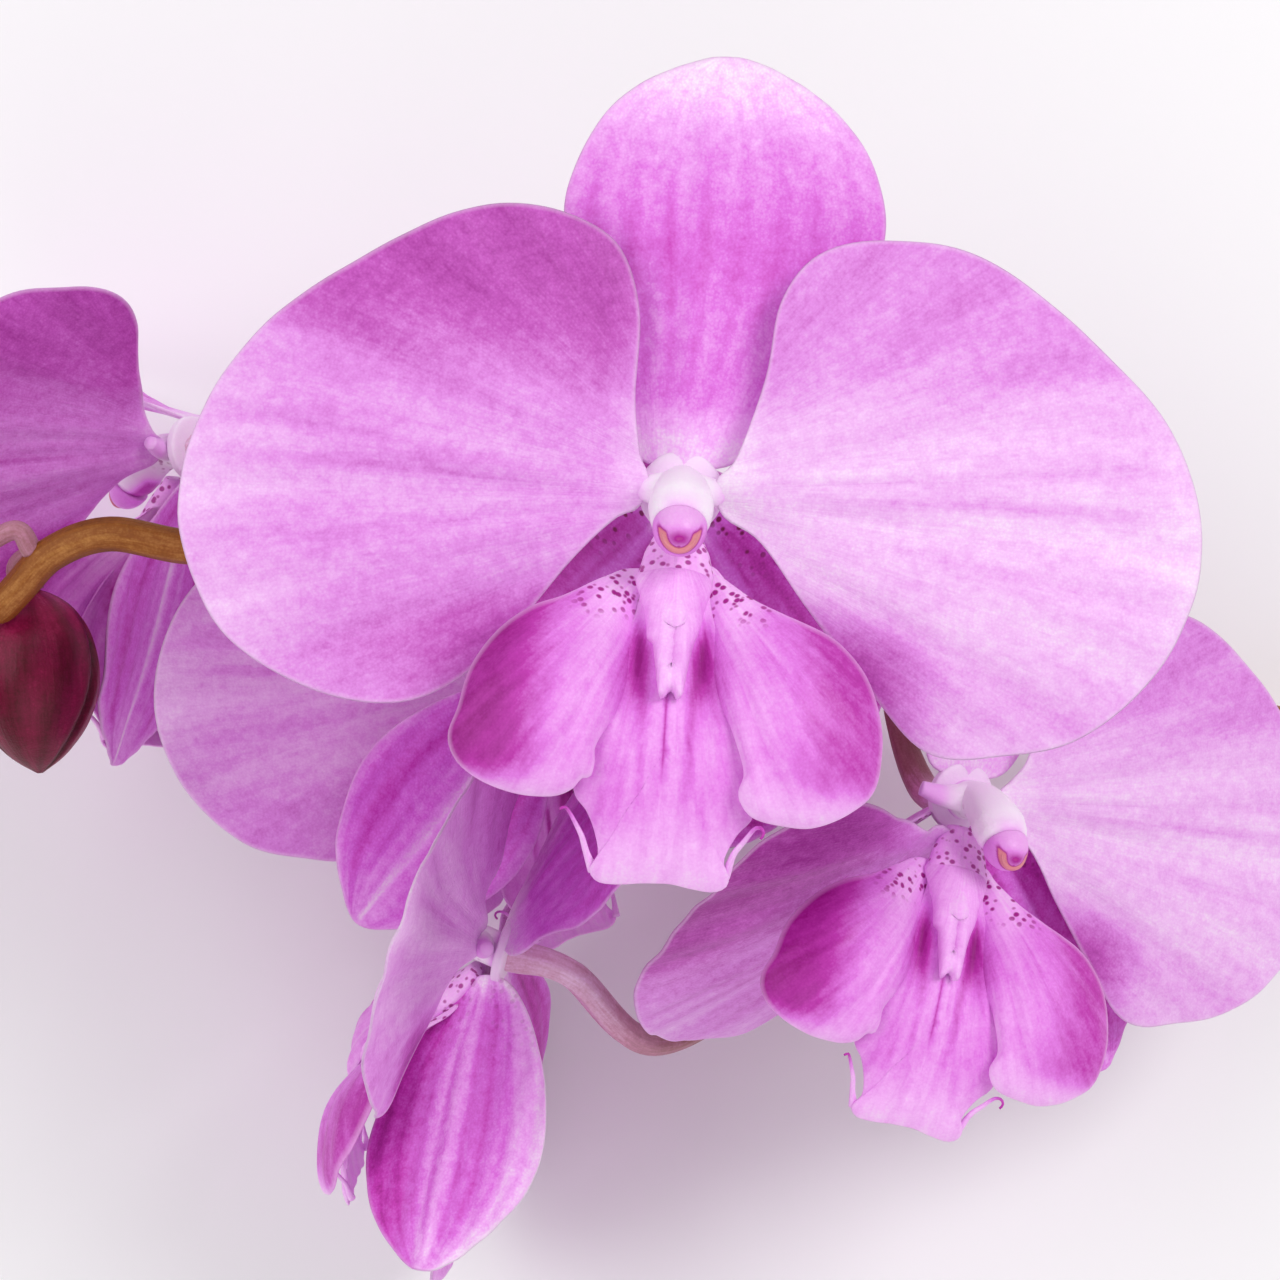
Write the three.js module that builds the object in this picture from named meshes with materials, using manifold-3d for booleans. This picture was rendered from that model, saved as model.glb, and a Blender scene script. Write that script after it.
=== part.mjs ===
// Cut orchid: a spray of a large-flowered pink moth orchid, laid down on a table.
//
// Five open flowers, three buds and their stalks hang on one arching flower stem.
// Frame, in millimetres: +X runs along the spray from the bud tip to the cut end,
// +Y across it towards the top of the main flower, +Z up from the table.
// The origin is under the middle of the object's bounding box, on the table.
//
// Every petal-like organ is a thin closed skin over a height field: an outline is
// shrunk towards a centre in rings, lifted by a height formula and given a thickness.
// Every stalk-like organ is a round skin swept along a smooth path.
import * as THREE from "three";
import { ParametricGeometry } from "three/addons/geometries/ParametricGeometry.js";
import Module from "manifold-3d";

// ---------------------------------------------------------------- sizes
const PETAL_SPREAD = 105; // tip to tip over both petals of the main flower
const DORSAL_LENGTH = 46.4; // from the flower's axis to the tip of the upper sepal
const LATERAL_LENGTH = 44; // from the flower's axis to the tip of a lower sepal
const LIP_WIDTH = 45; // across both side lobes of the lip
const PETAL_THICKNESS = 1.0;
const SEPAL_THICKNESS = 1.0;
const LIP_THICKNESS = 0.9;
const RIM_SHARE = 0.5; // thickness left at the rim of a blade
const COLUMN_RADIUS = 3.0;
const OVARY_RADIUS = 2.0; // flower stalk just behind the flower
const STALK_RADIUS = 1.5; // flower stalk where it leaves the stem
const STEM_RADIUS_TIP = 1.9;
const STEM_RADIUS_CUT = 3.0;
const BUD_LENGTH = 22;
const BUD_WIDTH = 16;
const SETTLE = 8.5; // degrees the spray rolls over its stem as it comes to rest
const GAP = 0.35; // air left between neighbouring organs

const degrees = THREE.MathUtils.degToRad;
const vec = (x, y, z) => new THREE.Vector3(x, y, z);

// ---------------------------------------------------------------- outlines
// Outlines are in the flower's own frame: x to the right and y up as seen from in
// front, the flower's axis at 0, 0. They are closed smooth curves through the points.
const PETAL_RIGHT = [
  [3.4, 1.5], [5.4, 4.2], [7.8, 12.5], [8.9, 20.6], [12.6, 25.8], [19.7, 27.6],
  [29.7, 26.2], [40.6, 19.0], [50.0, 9.7], [53.7, -2.3], [50.7, -13.6], [42.9, -22.0],
  [34.8, -24.6], [27.0, -24.8], [20.5, -18.7], [13.6, -10.8], [8.4, -4.4], [4.4, -1.9],
];
const PETAL_LEFT = [
  [-3.4, 1.4], [-4.5, 4.0], [-5.4, 9.7], [-5.6, 18.7], [-8.3, 25.4], [-14.0, 28.3],
  [-20.4, 28.7], [-27.0, 26.5], [-35.0, 21.7], [-43.9, 14.6], [-49.5, 5.4], [-51.4, -5.2],
  [-47.9, -14.8], [-42.3, -20.1], [-33.8, -23.3], [-25.4, -22.8], [-18.0, -17.2],
  [-10.8, -7.6], [-6.6, -3.0], [-4.2, -1.6],
];
const DORSAL_SEPAL = [
  [0.0, 3.3], [-3.6, 4.4], [-6.6, 10.5], [-11.4, 19.0], [-14.2, 28.0], [-13.4, 34.2],
  [-10.2, 40.3], [-5.0, 44.4], [2.4, 46.4], [9.2, 44.3], [14.7, 40.4], [18.3, 35.0],
  [19.4, 27.8], [15.6, 18.6], [9.0, 10.5], [4.2, 4.6],
];
// A lower sepal is drawn pointing up; it is turned to its place about the axis.
const LATERAL_SEPAL = [
  [0.0, 3.3], [-3.8, 4.6], [-8.4, 10.5], [-12.6, 19.5], [-13.6, 28.0], [-10.2, 36.6],
  [-4.6, 42.0], [0.0, 44.0], [4.4, 41.6], [9.6, 36.0], [13.0, 27.5], [12.2, 19.0],
  [8.0, 10.5], [3.8, 4.6],
];
// The lip is drawn from its hinge at 0, 0 downwards.
const LIP = [
  [0.0, 1.4], [-3.8, 0.9], [-7.8, -1.1], [-15.9, -4.9], [-20.1, -10.2], [-22.3, -16.8],
  [-20.8, -21.2], [-15.6, -23.7], [-10.2, -23.4], [-7.4, -25.0], [-6.1, -28.5],
  [-6.8, -30.8], [-4.6, -32.3], [0.4, -31.9], [5.8, -32.5], [7.6, -30.9], [7.0, -28.8],
  [8.6, -25.0], [13.6, -25.2], [20.0, -23.2], [22.6, -18.4], [21.7, -11.4],
  [18.4, -5.8], [11.0, -2.3], [7.1, 0.0], [3.4, 1.2],
];

// ---------------------------------------------------------------- the five flowers
// at: the flower's axis on its face; yaw turns it to face +X, nod tips the face towards
// -Y, roll turns it about its own axis, all in degrees. ease holds how far single organs
// are swung: turn about the flower's axis, pitch towards the front, twist about the
// organ's own length.
const FLOWERS = {
  flower_a: {
    at: [0, 0, 91], yaw: 0, nod: 0, roll: -4, size: 1.0,
    ease: {
      lateral_sepal_left: { turn: 3, pitch: -45, lift: -1.8 },
      lateral_sepal_right: { turn: -8, pitch: -34 },
    },
  },
  flower_b: {
    at: [33.8, -33.8, 54], yaw: 24, nod: 6, roll: -8, size: 0.94,
    ease: {
      petal_left: { turn: 51.3, pitch: -31.2, twist: -41.8 },
      lateral_sepal_left: { turn: 7.8, pitch: -28, twist: -63.8, lift: -2.5 },
      lip: { turn: -6, twist: 18 },
    },
  },
  flower_c: {
    at: [-61.5, 8.5, 28], yaw: -125, nod: 4, roll: 0, size: 0.92,
    ease: {
      petal_right: { turn: -10, pitch: 22, twist: -35 },
      petal_left: { turn: 16, pitch: -31.5, twist: 48 },
      dorsal_sepal: { turn: 6, pitch: 74 },
      lateral_sepal_right: { turn: -26, pitch: 14, twist: -20, lift: -1.8 },
      lateral_sepal_left: { turn: 26, pitch: 20.5, twist: 2 },
    },
  },
  flower_d: {
    at: [-15, -18, 43], yaw: -150, nod: 6, roll: 0, size: 0.88,
    ease: {
      petal_right: { pitch: 20 },
      petal_left: { turn: -16, pitch: 6 },
      lateral_sepal_left: { turn: -20, pitch: 8 },
      lateral_sepal_right: { turn: -4, pitch: 16, lift: -0.8 },
      // nods further as the column of the flower beside it grows thicker
      lip: { turn: -15, pitch: 5 + 1.5 * (COLUMN_RADIUS - 3) },
    },
  },
  flower_e: {
    at: [-22, -52, 44], yaw: -98, nod: -16, roll: 0, size: 0.9,
    ease: {
      petal_left: { turn: 57.5, pitch: -7.5, twist: -4 },
      lip: { turn: -18.8, pitch: 1, twist: -8 },
      petal_right: { turn: 12 },
      lateral_sepal_right: { turn: -10, pitch: -5.5, twist: -62.5 },
      lateral_sepal_left: { pitch: -6 },
      dorsal_sepal: { turn: -21.7, pitch: -19, twist: 17 },
    },
  },
};

// ---------------------------------------------------------------- stem, stalks and buds
const STEM_PATH = [
  [192, -34, 8.2], [150, -33, 8.6], [110, -30, 11.5], [78, -26, 15], [50, -18, 27],
  [25, -9, 40], [0, -4, 51], [-25, -2, 57], [-45, -3, 60.5], [-55, -4.4, 61.5],
  [-64.5, -2.9, 61], [-71.2, -5, 60], [-75.5, -9, 58.5], [-79, -12.5, 57],
];
// x: where on the stem the stalk leaves it; by: points the stalk passes on its way;
// bract: the side of the stem the scale sits on.
const STALKS = {
  flower_b: { x: 29, by: [[27, -24, 38]], bract: [0, 1, 0.3], thick: 1 },
  flower_e: {
    x: 56, by: [[-2.5, -64.5, 33.5], [14, -57, 25], [36, -44, 22]], bract: [0, 1, 0.3],
    thick: 1.2,
  },
  flower_a: { x: 12, by: [[7, -3, 63]], bract: [0, 1, -0.3], thick: 1 },
  flower_d: { x: -8, by: [[-9, -12, 55]], bract: [0, 1, 0.2], thick: 1 },
  flower_c: { x: -46, by: [[-46, 8, 46]], bract: [0, -1, -0.3], thick: 1 },
};
const BRACT_LENGTH = 8;
const BRACT_WIDTH = 4.4;
const BUDS = [
  { at: [-75.8, -19.8, 49.2], aim: [0.05, -1, -0.12], size: 1.0, x: -68 },
  { at: [-89, -23, 56], aim: [-0.35, -0.93, -0.05], size: 0.78, x: -78.8 },
  { at: [-92, -5, 59], aim: [-0.95, 0.35, 0], size: 0.55, x: -72 },
];

// ---------------------------------------------------------------- helpers
const materials = {
  petal: ["#d99ad6", 0.62], sepal: ["#cf7fcb", 0.62], lip: ["#c968c4", 0.5],
  column: ["#f4cdf3", 0.45], anther: ["#ee9bb8", 0.45], stem: ["#8f6a3a", 0.55],
  stalk: ["#b98a86", 0.55], bud: ["#8a2450", 0.5], bract: ["#5c1a22", 0.7],
};

const group = new THREE.Group();

function add(name, geometry, slot) {
  const [color, roughness] = materials[slot];
  const material = new THREE.MeshStandardMaterial({ color, roughness, metalness: 0 });
  const mesh = new THREE.Mesh(geometry, material);
  mesh.name = name;
  group.add(mesh);
  return mesh;
}

// A smooth closed curve through the outline's points, stretched by sx and sy.
function outlineCurve(points, sx, sy) {
  const corners = points.map(([x, y]) => vec(x * sx, y * sy, 0));
  return new THREE.CatmullRomCurve3(corners, true, "catmullrom", 0.5);
}

// The closed skin of a blade: from a pole on the front face out to the rim and back to
// a pole on the back. u runs round the outline, v from front pole to back pole.
function blade({ curve, centre, height, thickness, sectors, rings }) {
  const rim = curve.getSpacedPoints(sectors).slice(0, sectors);
  if (THREE.ShapeUtils.area(rim) > 0) rim.reverse();
  const shares = [];
  for (let i = 0; i <= rings; i++) shares.push([i / rings, 1]);
  for (let i = rings; i >= 0; i--) shares.push([i / rings, -1]);
  const last = shares.length - 1;
  const skin = (u, v, target) => {
    const j = Math.round(u * sectors) % sectors;
    const [share, side] = shares[Math.round(v * last)];
    const x = centre[0] + share * (rim[j].x - centre[0]);
    const y = centre[1] + share * (rim[j].y - centre[1]);
    const z = height(x, y);
    const step = 0.05;
    const slopeX = (height(x + step, y) - z) / step;
    const slopeY = (height(x, y + step) - z) / step;
    const half = (side * thickness * (1 - (1 - RIM_SHARE) * share ** 4)) / 2;
    const lean = half / Math.hypot(slopeX, slopeY, 1);
    target.set(x - slopeX * lean, y - slopeY * lean, z + lean);
  };
  return new ParametricGeometry(skin, sectors, last);
}

// A round skin along a smooth path. radii lists [share of the path, radius]; a radius of
// 0 at either end closes it. up is any direction the path never runs along.
function tube({ path, radii, up, sectors, flat = 1 }) {
  const curve = new THREE.CatmullRomCurve3(path, false, "catmullrom", 0.5);
  const skin = (u, v, target) => {
    const [share, radius] = radii[Math.round(v * (radii.length - 1))];
    const point = curve.getPointAt(share);
    const along = curve.getTangentAt(share);
    const side = along.clone().cross(up).normalize();
    const over = along.clone().cross(side);
    const angle = (Math.round(u * sectors) % sectors) * ((2 * Math.PI) / sectors);
    target.copy(point);
    target.addScaledVector(side, radius * Math.cos(angle));
    target.addScaledVector(over, radius * flat * Math.sin(angle));
  };
  return new ParametricGeometry(skin, sectors, radii.length - 1);
}

// Evenly spaced rings whose radius goes smoothly through the given stations, closed flat
// at both ends.
function taper(stations, steps) {
  const radii = [[0, 0]];
  for (let i = 0; i <= steps; i++) {
    const share = i / steps;
    let k = 1;
    while (k < stations.length - 1 && stations[k][0] < share) k++;
    const [s0, r0] = stations[k - 1];
    const [s1, r1] = stations[k];
    radii.push([share, THREE.MathUtils.lerp(r0, r1, (share - s0) / (s1 - s0))]);
  }
  radii.push([1, 0]);
  return radii;
}

const wasm = await Module();
wasm.setup();

function solid(geometry) {
  const flat = geometry.toNonIndexed().getAttribute("position");
  const corners = new Map();
  const vertProperties = [];
  const triVerts = [];
  for (let i = 0; i < flat.count; i++) {
    const at = [flat.getX(i), flat.getY(i), flat.getZ(i)];
    const key = at.map((c) => Math.round(c * 1e4)).join();
    if (!corners.has(key)) {
      corners.set(key, corners.size);
      vertProperties.push(...at);
    }
    triVerts.push(corners.get(key));
  }
  const mesh = new wasm.Mesh({
    numProp: 3,
    vertProperties: new Float32Array(vertProperties),
    triVerts: new Uint32Array(triVerts),
  });
  return new wasm.Manifold(mesh);
}

// One closed geometry from pieces that run into each other.
function join(geometries) {
  const bodies = wasm.Manifold.union(geometries.map(solid)).decompose();
  bodies.sort((a, b) => b.volume() - a.volume()); // the first is the body without pockets
  const { vertProperties, triVerts, numProp } = bodies[0].getMesh();
  const positions = new Float32Array((vertProperties.length / numProp) * 3);
  for (let i = 0; i < positions.length / 3; i++) {
    for (let k = 0; k < 3; k++) positions[3 * i + k] = vertProperties[numProp * i + k];
  }
  const geometry = new THREE.BufferGeometry();
  geometry.setAttribute("position", new THREE.BufferAttribute(positions, 3));
  geometry.setIndex(new THREE.BufferAttribute(new Uint32Array(triVerts), 1));
  return geometry;
}

const bump = (x, middle, spread) => Math.exp(-(((x - middle) / spread) ** 2));

// ---------------------------------------------------------------- organ shapes
const petalStretch = PETAL_SPREAD / 105;
const dorsalStretch = DORSAL_LENGTH / 46.4;
const lateralStretch = LATERAL_LENGTH / 44;
const lipStretch = LIP_WIDTH / 45;
const clawShift = COLUMN_RADIUS - 3; // keeps every claw clear of a thicker column

// A petal lifts off its claw, arches forward over a shallow midrib groove and lets its
// margins fall back in a slow wave.
function petalHeight(x, y) {
  const out = Math.abs(x) - 3.4;
  const across = y + 0.06 * out;
  const arch = 0.17 * out * (1 - out / 62);
  const margins = -0.0024 * across ** 2;
  const groove = -0.5 * bump(across, 0, 3) * Math.min(out / 12, 1);
  const wave = 0.5 * Math.sin(across / 7 + out / 15) * Math.min(out / 30, 1);
  return 1.25 + arch + margins + groove + wave;
}

// The sepals stand behind the petals and bow back a little towards their tips.
function sepalHeight(x, y) {
  return -1.7 - 0.02 * y - 0.0009 * y ** 2 - 0.0035 * x ** 2 + 0.35 * bump(x, 0, 1.6);
}

// The lip rises forward from its hinge, domes over both side lobes, is grooved on each
// side of the callus and falls back at its tip.
function lipHeight(x, y) {
  const out = Math.abs(x);
  const down = -y;
  const keel = 8.2 * Math.sin((Math.PI * down) / 42);
  const lobes = 2.4 * bump(out, 12, 6.5) * bump(down, 12, 9);
  const grooves = -1.2 * bump(out, 3.2, 1.6) * bump(down, 8, 7);
  const edge = -0.014 * Math.max(out - 11, 0) ** 2;
  return keel + lobes + grooves + edge;
}

const petalBlade = (outline) =>
  blade({
    curve: outlineCurve(outline, petalStretch, petalStretch),
    centre: [Math.sign(outline[8][0]) * 27 * petalStretch, 1 * petalStretch],
    height: petalHeight,
    thickness: PETAL_THICKNESS,
    sectors: 24,
    rings: 3,
  });

const sepalBlade = (outline, stretch) =>
  blade({
    curve: outlineCurve(outline, stretch, stretch),
    centre: [outline === DORSAL_SEPAL ? 2 * stretch : 0, 25 * stretch],
    height: sepalHeight,
    thickness: SEPAL_THICKNESS,
    sectors: 18,
    rings: 3,
  });

const LIP_HINGE = [0, -8.3, 5.0];

// The lip with its claw to the column's foot, the forked callus and the two tendrils.
function lipShape() {
  const sheet = blade({
    curve: outlineCurve(LIP, lipStretch, 1),
    centre: [0, -13],
    height: lipHeight,
    thickness: LIP_THICKNESS,
    sectors: 34,
    rings: 4,
  });
  const claw = tube({
    path: [vec(0, 4.9, -3.6), vec(0, 2.6, -2.4), vec(0, -0.6, -0.2), vec(0, -3.5, 1.9)],
    radii: taper([[0, 1.1], [1, 1.5]], 5),
    up: vec(1, 0, 0),
    sectors: 8,
  });
  const callus = tube({
    path: [vec(0, -1.6, 1.5), vec(0, -4.5, 3.6), vec(0, -8.5, 6.0), vec(0, -12.6, 8.6)],
    radii: taper([[0, 2.8], [0.4, 2.6], [1, 1.1]], 5),
    up: vec(0, 0, 1),
    sectors: 8,
    flat: 0.5,
  });
  const tendril = (s) =>
    tube({
      path: [
        vec(s * 6.2, -30.6, lipHeight(6.2, -30.6)),
        vec(s * 8.0, -28.6, 8.5),
        vec(s * 8.6, -25.6, 10.6),
        vec(s * 10.2, -23.2, 12.4),
        vec(s * 11.2, -21.6, 13.6),
      ],
      radii: taper([[0, 0.5], [1, 0.3]], 8),
      up: vec(1, 0, 0),
      sectors: 5,
    });
  const lip = join([sheet, claw, callus, tendril(-1), tendril(1)]);
  return lip.translate(...LIP_HINGE);
}

// The column reaches forward and bends down over the lip; it ends flat under the cap.
const COLUMN_PATH = [vec(0, 0, -1.9), vec(0, 0.4, 3), vec(0, -1.0, 7), vec(0, -4.0, 10.6)];
function columnShape() {
  const r = COLUMN_RADIUS;
  return tube({
    path: COLUMN_PATH,
    radii: taper([[0, r * 0.8], [0.3, r * 0.8], [0.75, r * 1.07], [1, r * 0.87]], 7),
    up: vec(1, 0, 0),
    sectors: 12,
  });
}

// The anther cap is a small dome just in front of the column's end.
function antherShape() {
  const end = COLUMN_PATH[3];
  const curve = new THREE.CatmullRomCurve3(COLUMN_PATH, false, "catmullrom", 0.5);
  const along = curve.getTangentAt(1);
  const from = end.clone().addScaledVector(along, GAP);
  const to = from.clone().addScaledVector(along, 2.2);
  const r = COLUMN_RADIUS * 0.82;
  return tube({
    path: [from, to],
    radii: [[0, 0], [0, r], [0.3, r * 0.97], [0.6, r * 0.8], [0.85, r * 0.5], [1, 0]],
    up: vec(1, 0, 0),
    sectors: 12,
  });
}

// ---------------------------------------------------------------- placing the flowers
// heading: where the organ points, in degrees anticlockwise from the flower's up.
const HEADINGS = {
  dorsal_sepal: 0, petal_left: 90, petal_right: -90,
  lateral_sepal_left: 137, lateral_sepal_right: -137,
};

function flowerMatrix({ at, yaw, nod, roll, size }) {
  const turn = new THREE.Euler(degrees(nod), degrees(yaw), degrees(roll), "YXZ");
  const matrix = new THREE.Matrix4().makeRotationFromEuler(turn);
  matrix.scale(vec(size, size, size));
  matrix.setPosition(...at);
  return matrix;
}

// Swings an organ about its claw: twist about its length, then pitch towards the front,
// then turn about the flower's axis; lift moves it along that axis.
function easeMatrix(heading, { turn = 0, pitch = 0, twist = 0, lift = 0 }) {
  const angle = degrees(heading);
  const outward = vec(-Math.sin(angle), Math.cos(angle), 0);
  const claw = outward.clone().multiplyScalar(3.4);
  const hinge = outward.clone().cross(vec(0, 0, 1));
  const matrix = new THREE.Matrix4().makeRotationZ(degrees(turn));
  matrix.multiply(new THREE.Matrix4().makeTranslation(claw.x, claw.y, lift));
  matrix.multiply(new THREE.Matrix4().makeRotationAxis(hinge, degrees(pitch)));
  matrix.multiply(new THREE.Matrix4().makeRotationAxis(outward, degrees(twist)));
  matrix.multiply(new THREE.Matrix4().makeTranslation(-claw.x, -claw.y, 0));
  return matrix;
}

const organShapes = {
  dorsal_sepal: [sepalBlade(DORSAL_SEPAL, dorsalStretch), "sepal"],
  lateral_sepal_left: [sepalBlade(LATERAL_SEPAL, lateralStretch), "sepal"],
  lateral_sepal_right: [sepalBlade(LATERAL_SEPAL, lateralStretch), "sepal"],
  petal_left: [petalBlade(PETAL_LEFT), "petal"],
  petal_right: [petalBlade(PETAL_RIGHT), "petal"],
  lip: [lipShape(), "lip"],
  column: [columnShape(), "column"],
  anther_cap: [antherShape(), "anther"],
};

for (const [flower, place] of Object.entries(FLOWERS)) {
  const toWorld = flowerMatrix(place);
  for (const [organ, [shape, slot]] of Object.entries(organShapes)) {
    const geometry = shape.clone();
    if (organ.startsWith("lateral")) geometry.rotateZ(degrees(HEADINGS[organ]));
    const heading = HEADINGS[organ] ?? 180;
    if (organ !== "column" && organ !== "anther_cap") {
      const angle = degrees(heading);
      geometry.translate(-Math.sin(angle) * clawShift, Math.cos(angle) * clawShift, 0);
    }
    if (place.ease[organ]) geometry.applyMatrix4(easeMatrix(heading, place.ease[organ]));
    geometry.applyMatrix4(toWorld);
    add(`${flower}_${organ}`, geometry, slot);
  }
}

// ---------------------------------------------------------------- stem and stalks
const stemCurve = new THREE.CatmullRomCurve3(
  STEM_PATH.map((p) => vec(...p)),
  false,
  "catmullrom",
  0.5,
);
const stemRadius = (share) => THREE.MathUtils.lerp(STEM_RADIUS_CUT, STEM_RADIUS_TIP, share);

add(
  "peduncle",
  tube({
    path: STEM_PATH.map((p) => vec(...p)),
    radii: taper([[0, STEM_RADIUS_CUT], [1, STEM_RADIUS_TIP]], 38),
    up: vec(0, 0, 1),
    sectors: 10,
  }),
  "stem",
);

// The share of the stem's length at which it passes x.
function shareAt(x) {
  let share = 0;
  while (share < 1 && stemCurve.getPointAt(share).x > x) share += 0.001;
  return share;
}

// The point a gap outside the stem's skin, on the side of the given direction.
function onStem(share, direction, gap = GAP) {
  const point = stemCurve.getPointAt(share);
  const along = stemCurve.getTangentAt(share);
  const away = direction.clone();
  away.addScaledVector(along, -away.dot(along)).normalize();
  return { point: point.addScaledVector(away, stemRadius(share) + gap), away, along };
}

// A stalk's last stretch meets the stem square on.
function stalkPath(starts, x) {
  const share = shareAt(x);
  const last = starts[starts.length - 1];
  const { point, away } = onStem(share, last.clone().sub(stemCurve.getPointAt(share)));
  return [...starts, point.clone().addScaledVector(away, 3), point];
}

const bractBlade = blade({
  curve: outlineCurve(
    [[0, -0.42], [0.35, -0.5], [0.75, -0.26], [1, 0], [0.75, 0.26], [0.35, 0.5], [0, 0.42]],
    BRACT_LENGTH,
    BRACT_WIDTH,
  ),
  centre: [BRACT_LENGTH * 0.4, 0],
  height: (x, y) => -(y ** 2) / 5 + 0.035 * x ** 2,
  thickness: 0.7,
  sectors: 12,
  rings: 2,
});

for (const [flower, { x, by, bract, thick }] of Object.entries(STALKS)) {
  const place = FLOWERS[flower];
  const back = vec(0, 0, -1).transformDirection(flowerMatrix(place));
  const centre = vec(...place.at);
  const start = centre.clone().addScaledVector(back, 2.9 * place.size);
  const straight = centre.clone().addScaledVector(back, 11 * place.size);
  const ovary = OVARY_RADIUS * place.size;
  const thin = STALK_RADIUS * thick;
  add(
    `${flower}_stalk`,
    tube({
      path: stalkPath([start, straight, ...by.map((p) => vec(...p))], x),
      radii: taper([[0, ovary], [0.35, ovary], [0.6, thin], [1, thin]], 14),
      up: vec(0.31, 0.87, 0.38),
      sectors: 8,
    }),
    "stalk",
  );
  const { point, away, along } = onStem(shareAt(x), vec(...bract), GAP + 0.5);
  const across = away.clone().cross(along);
  const seat = new THREE.Matrix4().makeBasis(along, across, away);
  seat.setPosition(point);
  add(`${flower}_bract`, bractBlade.clone().applyMatrix4(seat), "bract");
}

// ---------------------------------------------------------------- buds
BUDS.forEach(({ at, aim, size, x }, i) => {
  const middle = vec(...at);
  const along = vec(...aim).normalize();
  const half = (BUD_LENGTH / 2) * size;
  const base = middle.clone().addScaledVector(along, -half);
  const tip = middle.clone().addScaledVector(along, half);
  const r = (BUD_WIDTH / 2) * size;
  const egg = [
    [0, 0], [0.02, 0.24], [0.1, 0.6], [0.24, 0.87], [0.42, 1], [0.6, 0.95],
    [0.78, 0.7], [0.92, 0.36], [1, 0],
  ];
  add(
    `bud_${i + 1}`,
    tube({
      path: [base, tip],
      radii: egg.map(([share, part]) => [share, part * r]),
      up: vec(0.2, 0.1, 1),
      sectors: 12,
    }),
    "bud",
  );
  const foot = base.clone().addScaledVector(along, -GAP);
  const bend = base.clone().addScaledVector(along, -2 * size - 1);
  add(
    `bud_${i + 1}_stalk`,
    tube({
      path: stalkPath([foot, bend], x),
      radii: taper([[0, 1.6 * size], [1, 1.2]], 7),
      up: vec(0.2, 0.1, 1),
      sectors: 8,
    }),
    "stalk",
  );
});

// ---------------------------------------------------------------- onto the table
// The spray settles a few degrees about +X, onto its cut end and its two lower flowers.
for (const mesh of group.children) mesh.geometry.rotateX(degrees(SETTLE));
const box = new THREE.Box3().setFromObject(group);
const middle = box.getCenter(vec(0, 0, 0));
for (const mesh of group.children) {
  mesh.geometry.translate(-middle.x, -middle.y, -box.min.z);
}

export default group;
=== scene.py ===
# %% [markdown]
# # A cut spray of pink moth orchid, lying down
# The spray is one arching flower stem with five open flowers, three buds and the short
# stalks that carry them. It lies on a table, so the camera looks down on it. Each petal,
# sepal, lip, column, stalk and bud is worked out as a numpy grid and put in as its own
# mesh, in place of the plain solid of the same name that carries the weight.
# Lengths are worked out in millimetres and turned to metres once, at the end.

from types import SimpleNamespace as Skin

import bpy
import numpy as np
from mathutils import Matrix, Vector


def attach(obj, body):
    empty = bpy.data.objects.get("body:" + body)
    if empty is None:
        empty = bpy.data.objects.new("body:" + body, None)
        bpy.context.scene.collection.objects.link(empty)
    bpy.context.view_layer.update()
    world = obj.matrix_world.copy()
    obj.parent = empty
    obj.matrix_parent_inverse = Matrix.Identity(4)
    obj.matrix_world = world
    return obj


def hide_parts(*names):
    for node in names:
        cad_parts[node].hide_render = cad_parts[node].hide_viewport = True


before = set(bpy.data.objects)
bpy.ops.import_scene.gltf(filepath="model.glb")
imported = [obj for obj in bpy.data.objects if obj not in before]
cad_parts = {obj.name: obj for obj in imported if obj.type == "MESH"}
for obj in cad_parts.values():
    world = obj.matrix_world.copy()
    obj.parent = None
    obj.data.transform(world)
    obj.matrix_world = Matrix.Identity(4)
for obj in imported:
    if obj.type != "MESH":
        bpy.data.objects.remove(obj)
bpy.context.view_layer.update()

# %% [markdown]
# ## Outlines
# A moth orchid flower has three sepals behind two broad petals, and a third petal, the
# lip, made of two side lobes, a middle lobe and a small forked callus. Each outline is a
# handful of points in the flower's own frame: x to the right, y up, seen from the front,
# in millimetres. A smooth curve runs through the points, so few are needed.

# %% Outlines of petals and sepals
CLAW = 3.4  # mm from the flower's axis to the foot of each petal and sepal
THICKNESS, LIP_THICKNESS = 0.9, 0.8
PETAL_RIGHT = [
    [3.4, 1.5], [5.4, 4.2], [7.8, 12.5], [8.9, 20.6], [12.6, 25.8], [19.7, 27.6],
    [29.7, 26.2], [40.6, 19.0], [50.0, 9.7], [53.7, -2.3], [50.7, -13.6], [42.9, -22.0],
    [34.8, -24.6], [27.0, -24.8], [20.5, -18.7], [13.6, -10.8], [8.4, -4.4], [4.4, -1.9],
]
PETAL_LEFT = [
    [-3.4, 1.4], [-4.5, 4.0], [-5.4, 9.7], [-5.6, 18.7], [-8.3, 25.4], [-14.0, 28.3],
    [-20.4, 28.7], [-27.0, 26.5], [-35.0, 21.7], [-43.9, 14.6], [-49.5, 5.4], [-51.4, -5.2],
    [-47.9, -14.8], [-42.3, -20.1], [-33.8, -23.3], [-25.4, -22.8], [-18.0, -17.2],
    [-10.8, -7.6], [-6.6, -3.0], [-4.2, -1.6],
]
DORSAL_SEPAL = [
    [0.0, 2.8], [-5.0, 3.9], [-7.4, 10.2], [-11.4, 19.0], [-14.2, 28.0], [-13.4, 34.2],
    [-10.2, 40.3], [-5.0, 44.4], [2.4, 46.4], [9.2, 44.3], [14.7, 40.4], [18.3, 35.0],
    [19.4, 27.8], [15.6, 18.6], [9.8, 10.2], [5.8, 4.0],
]
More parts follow.
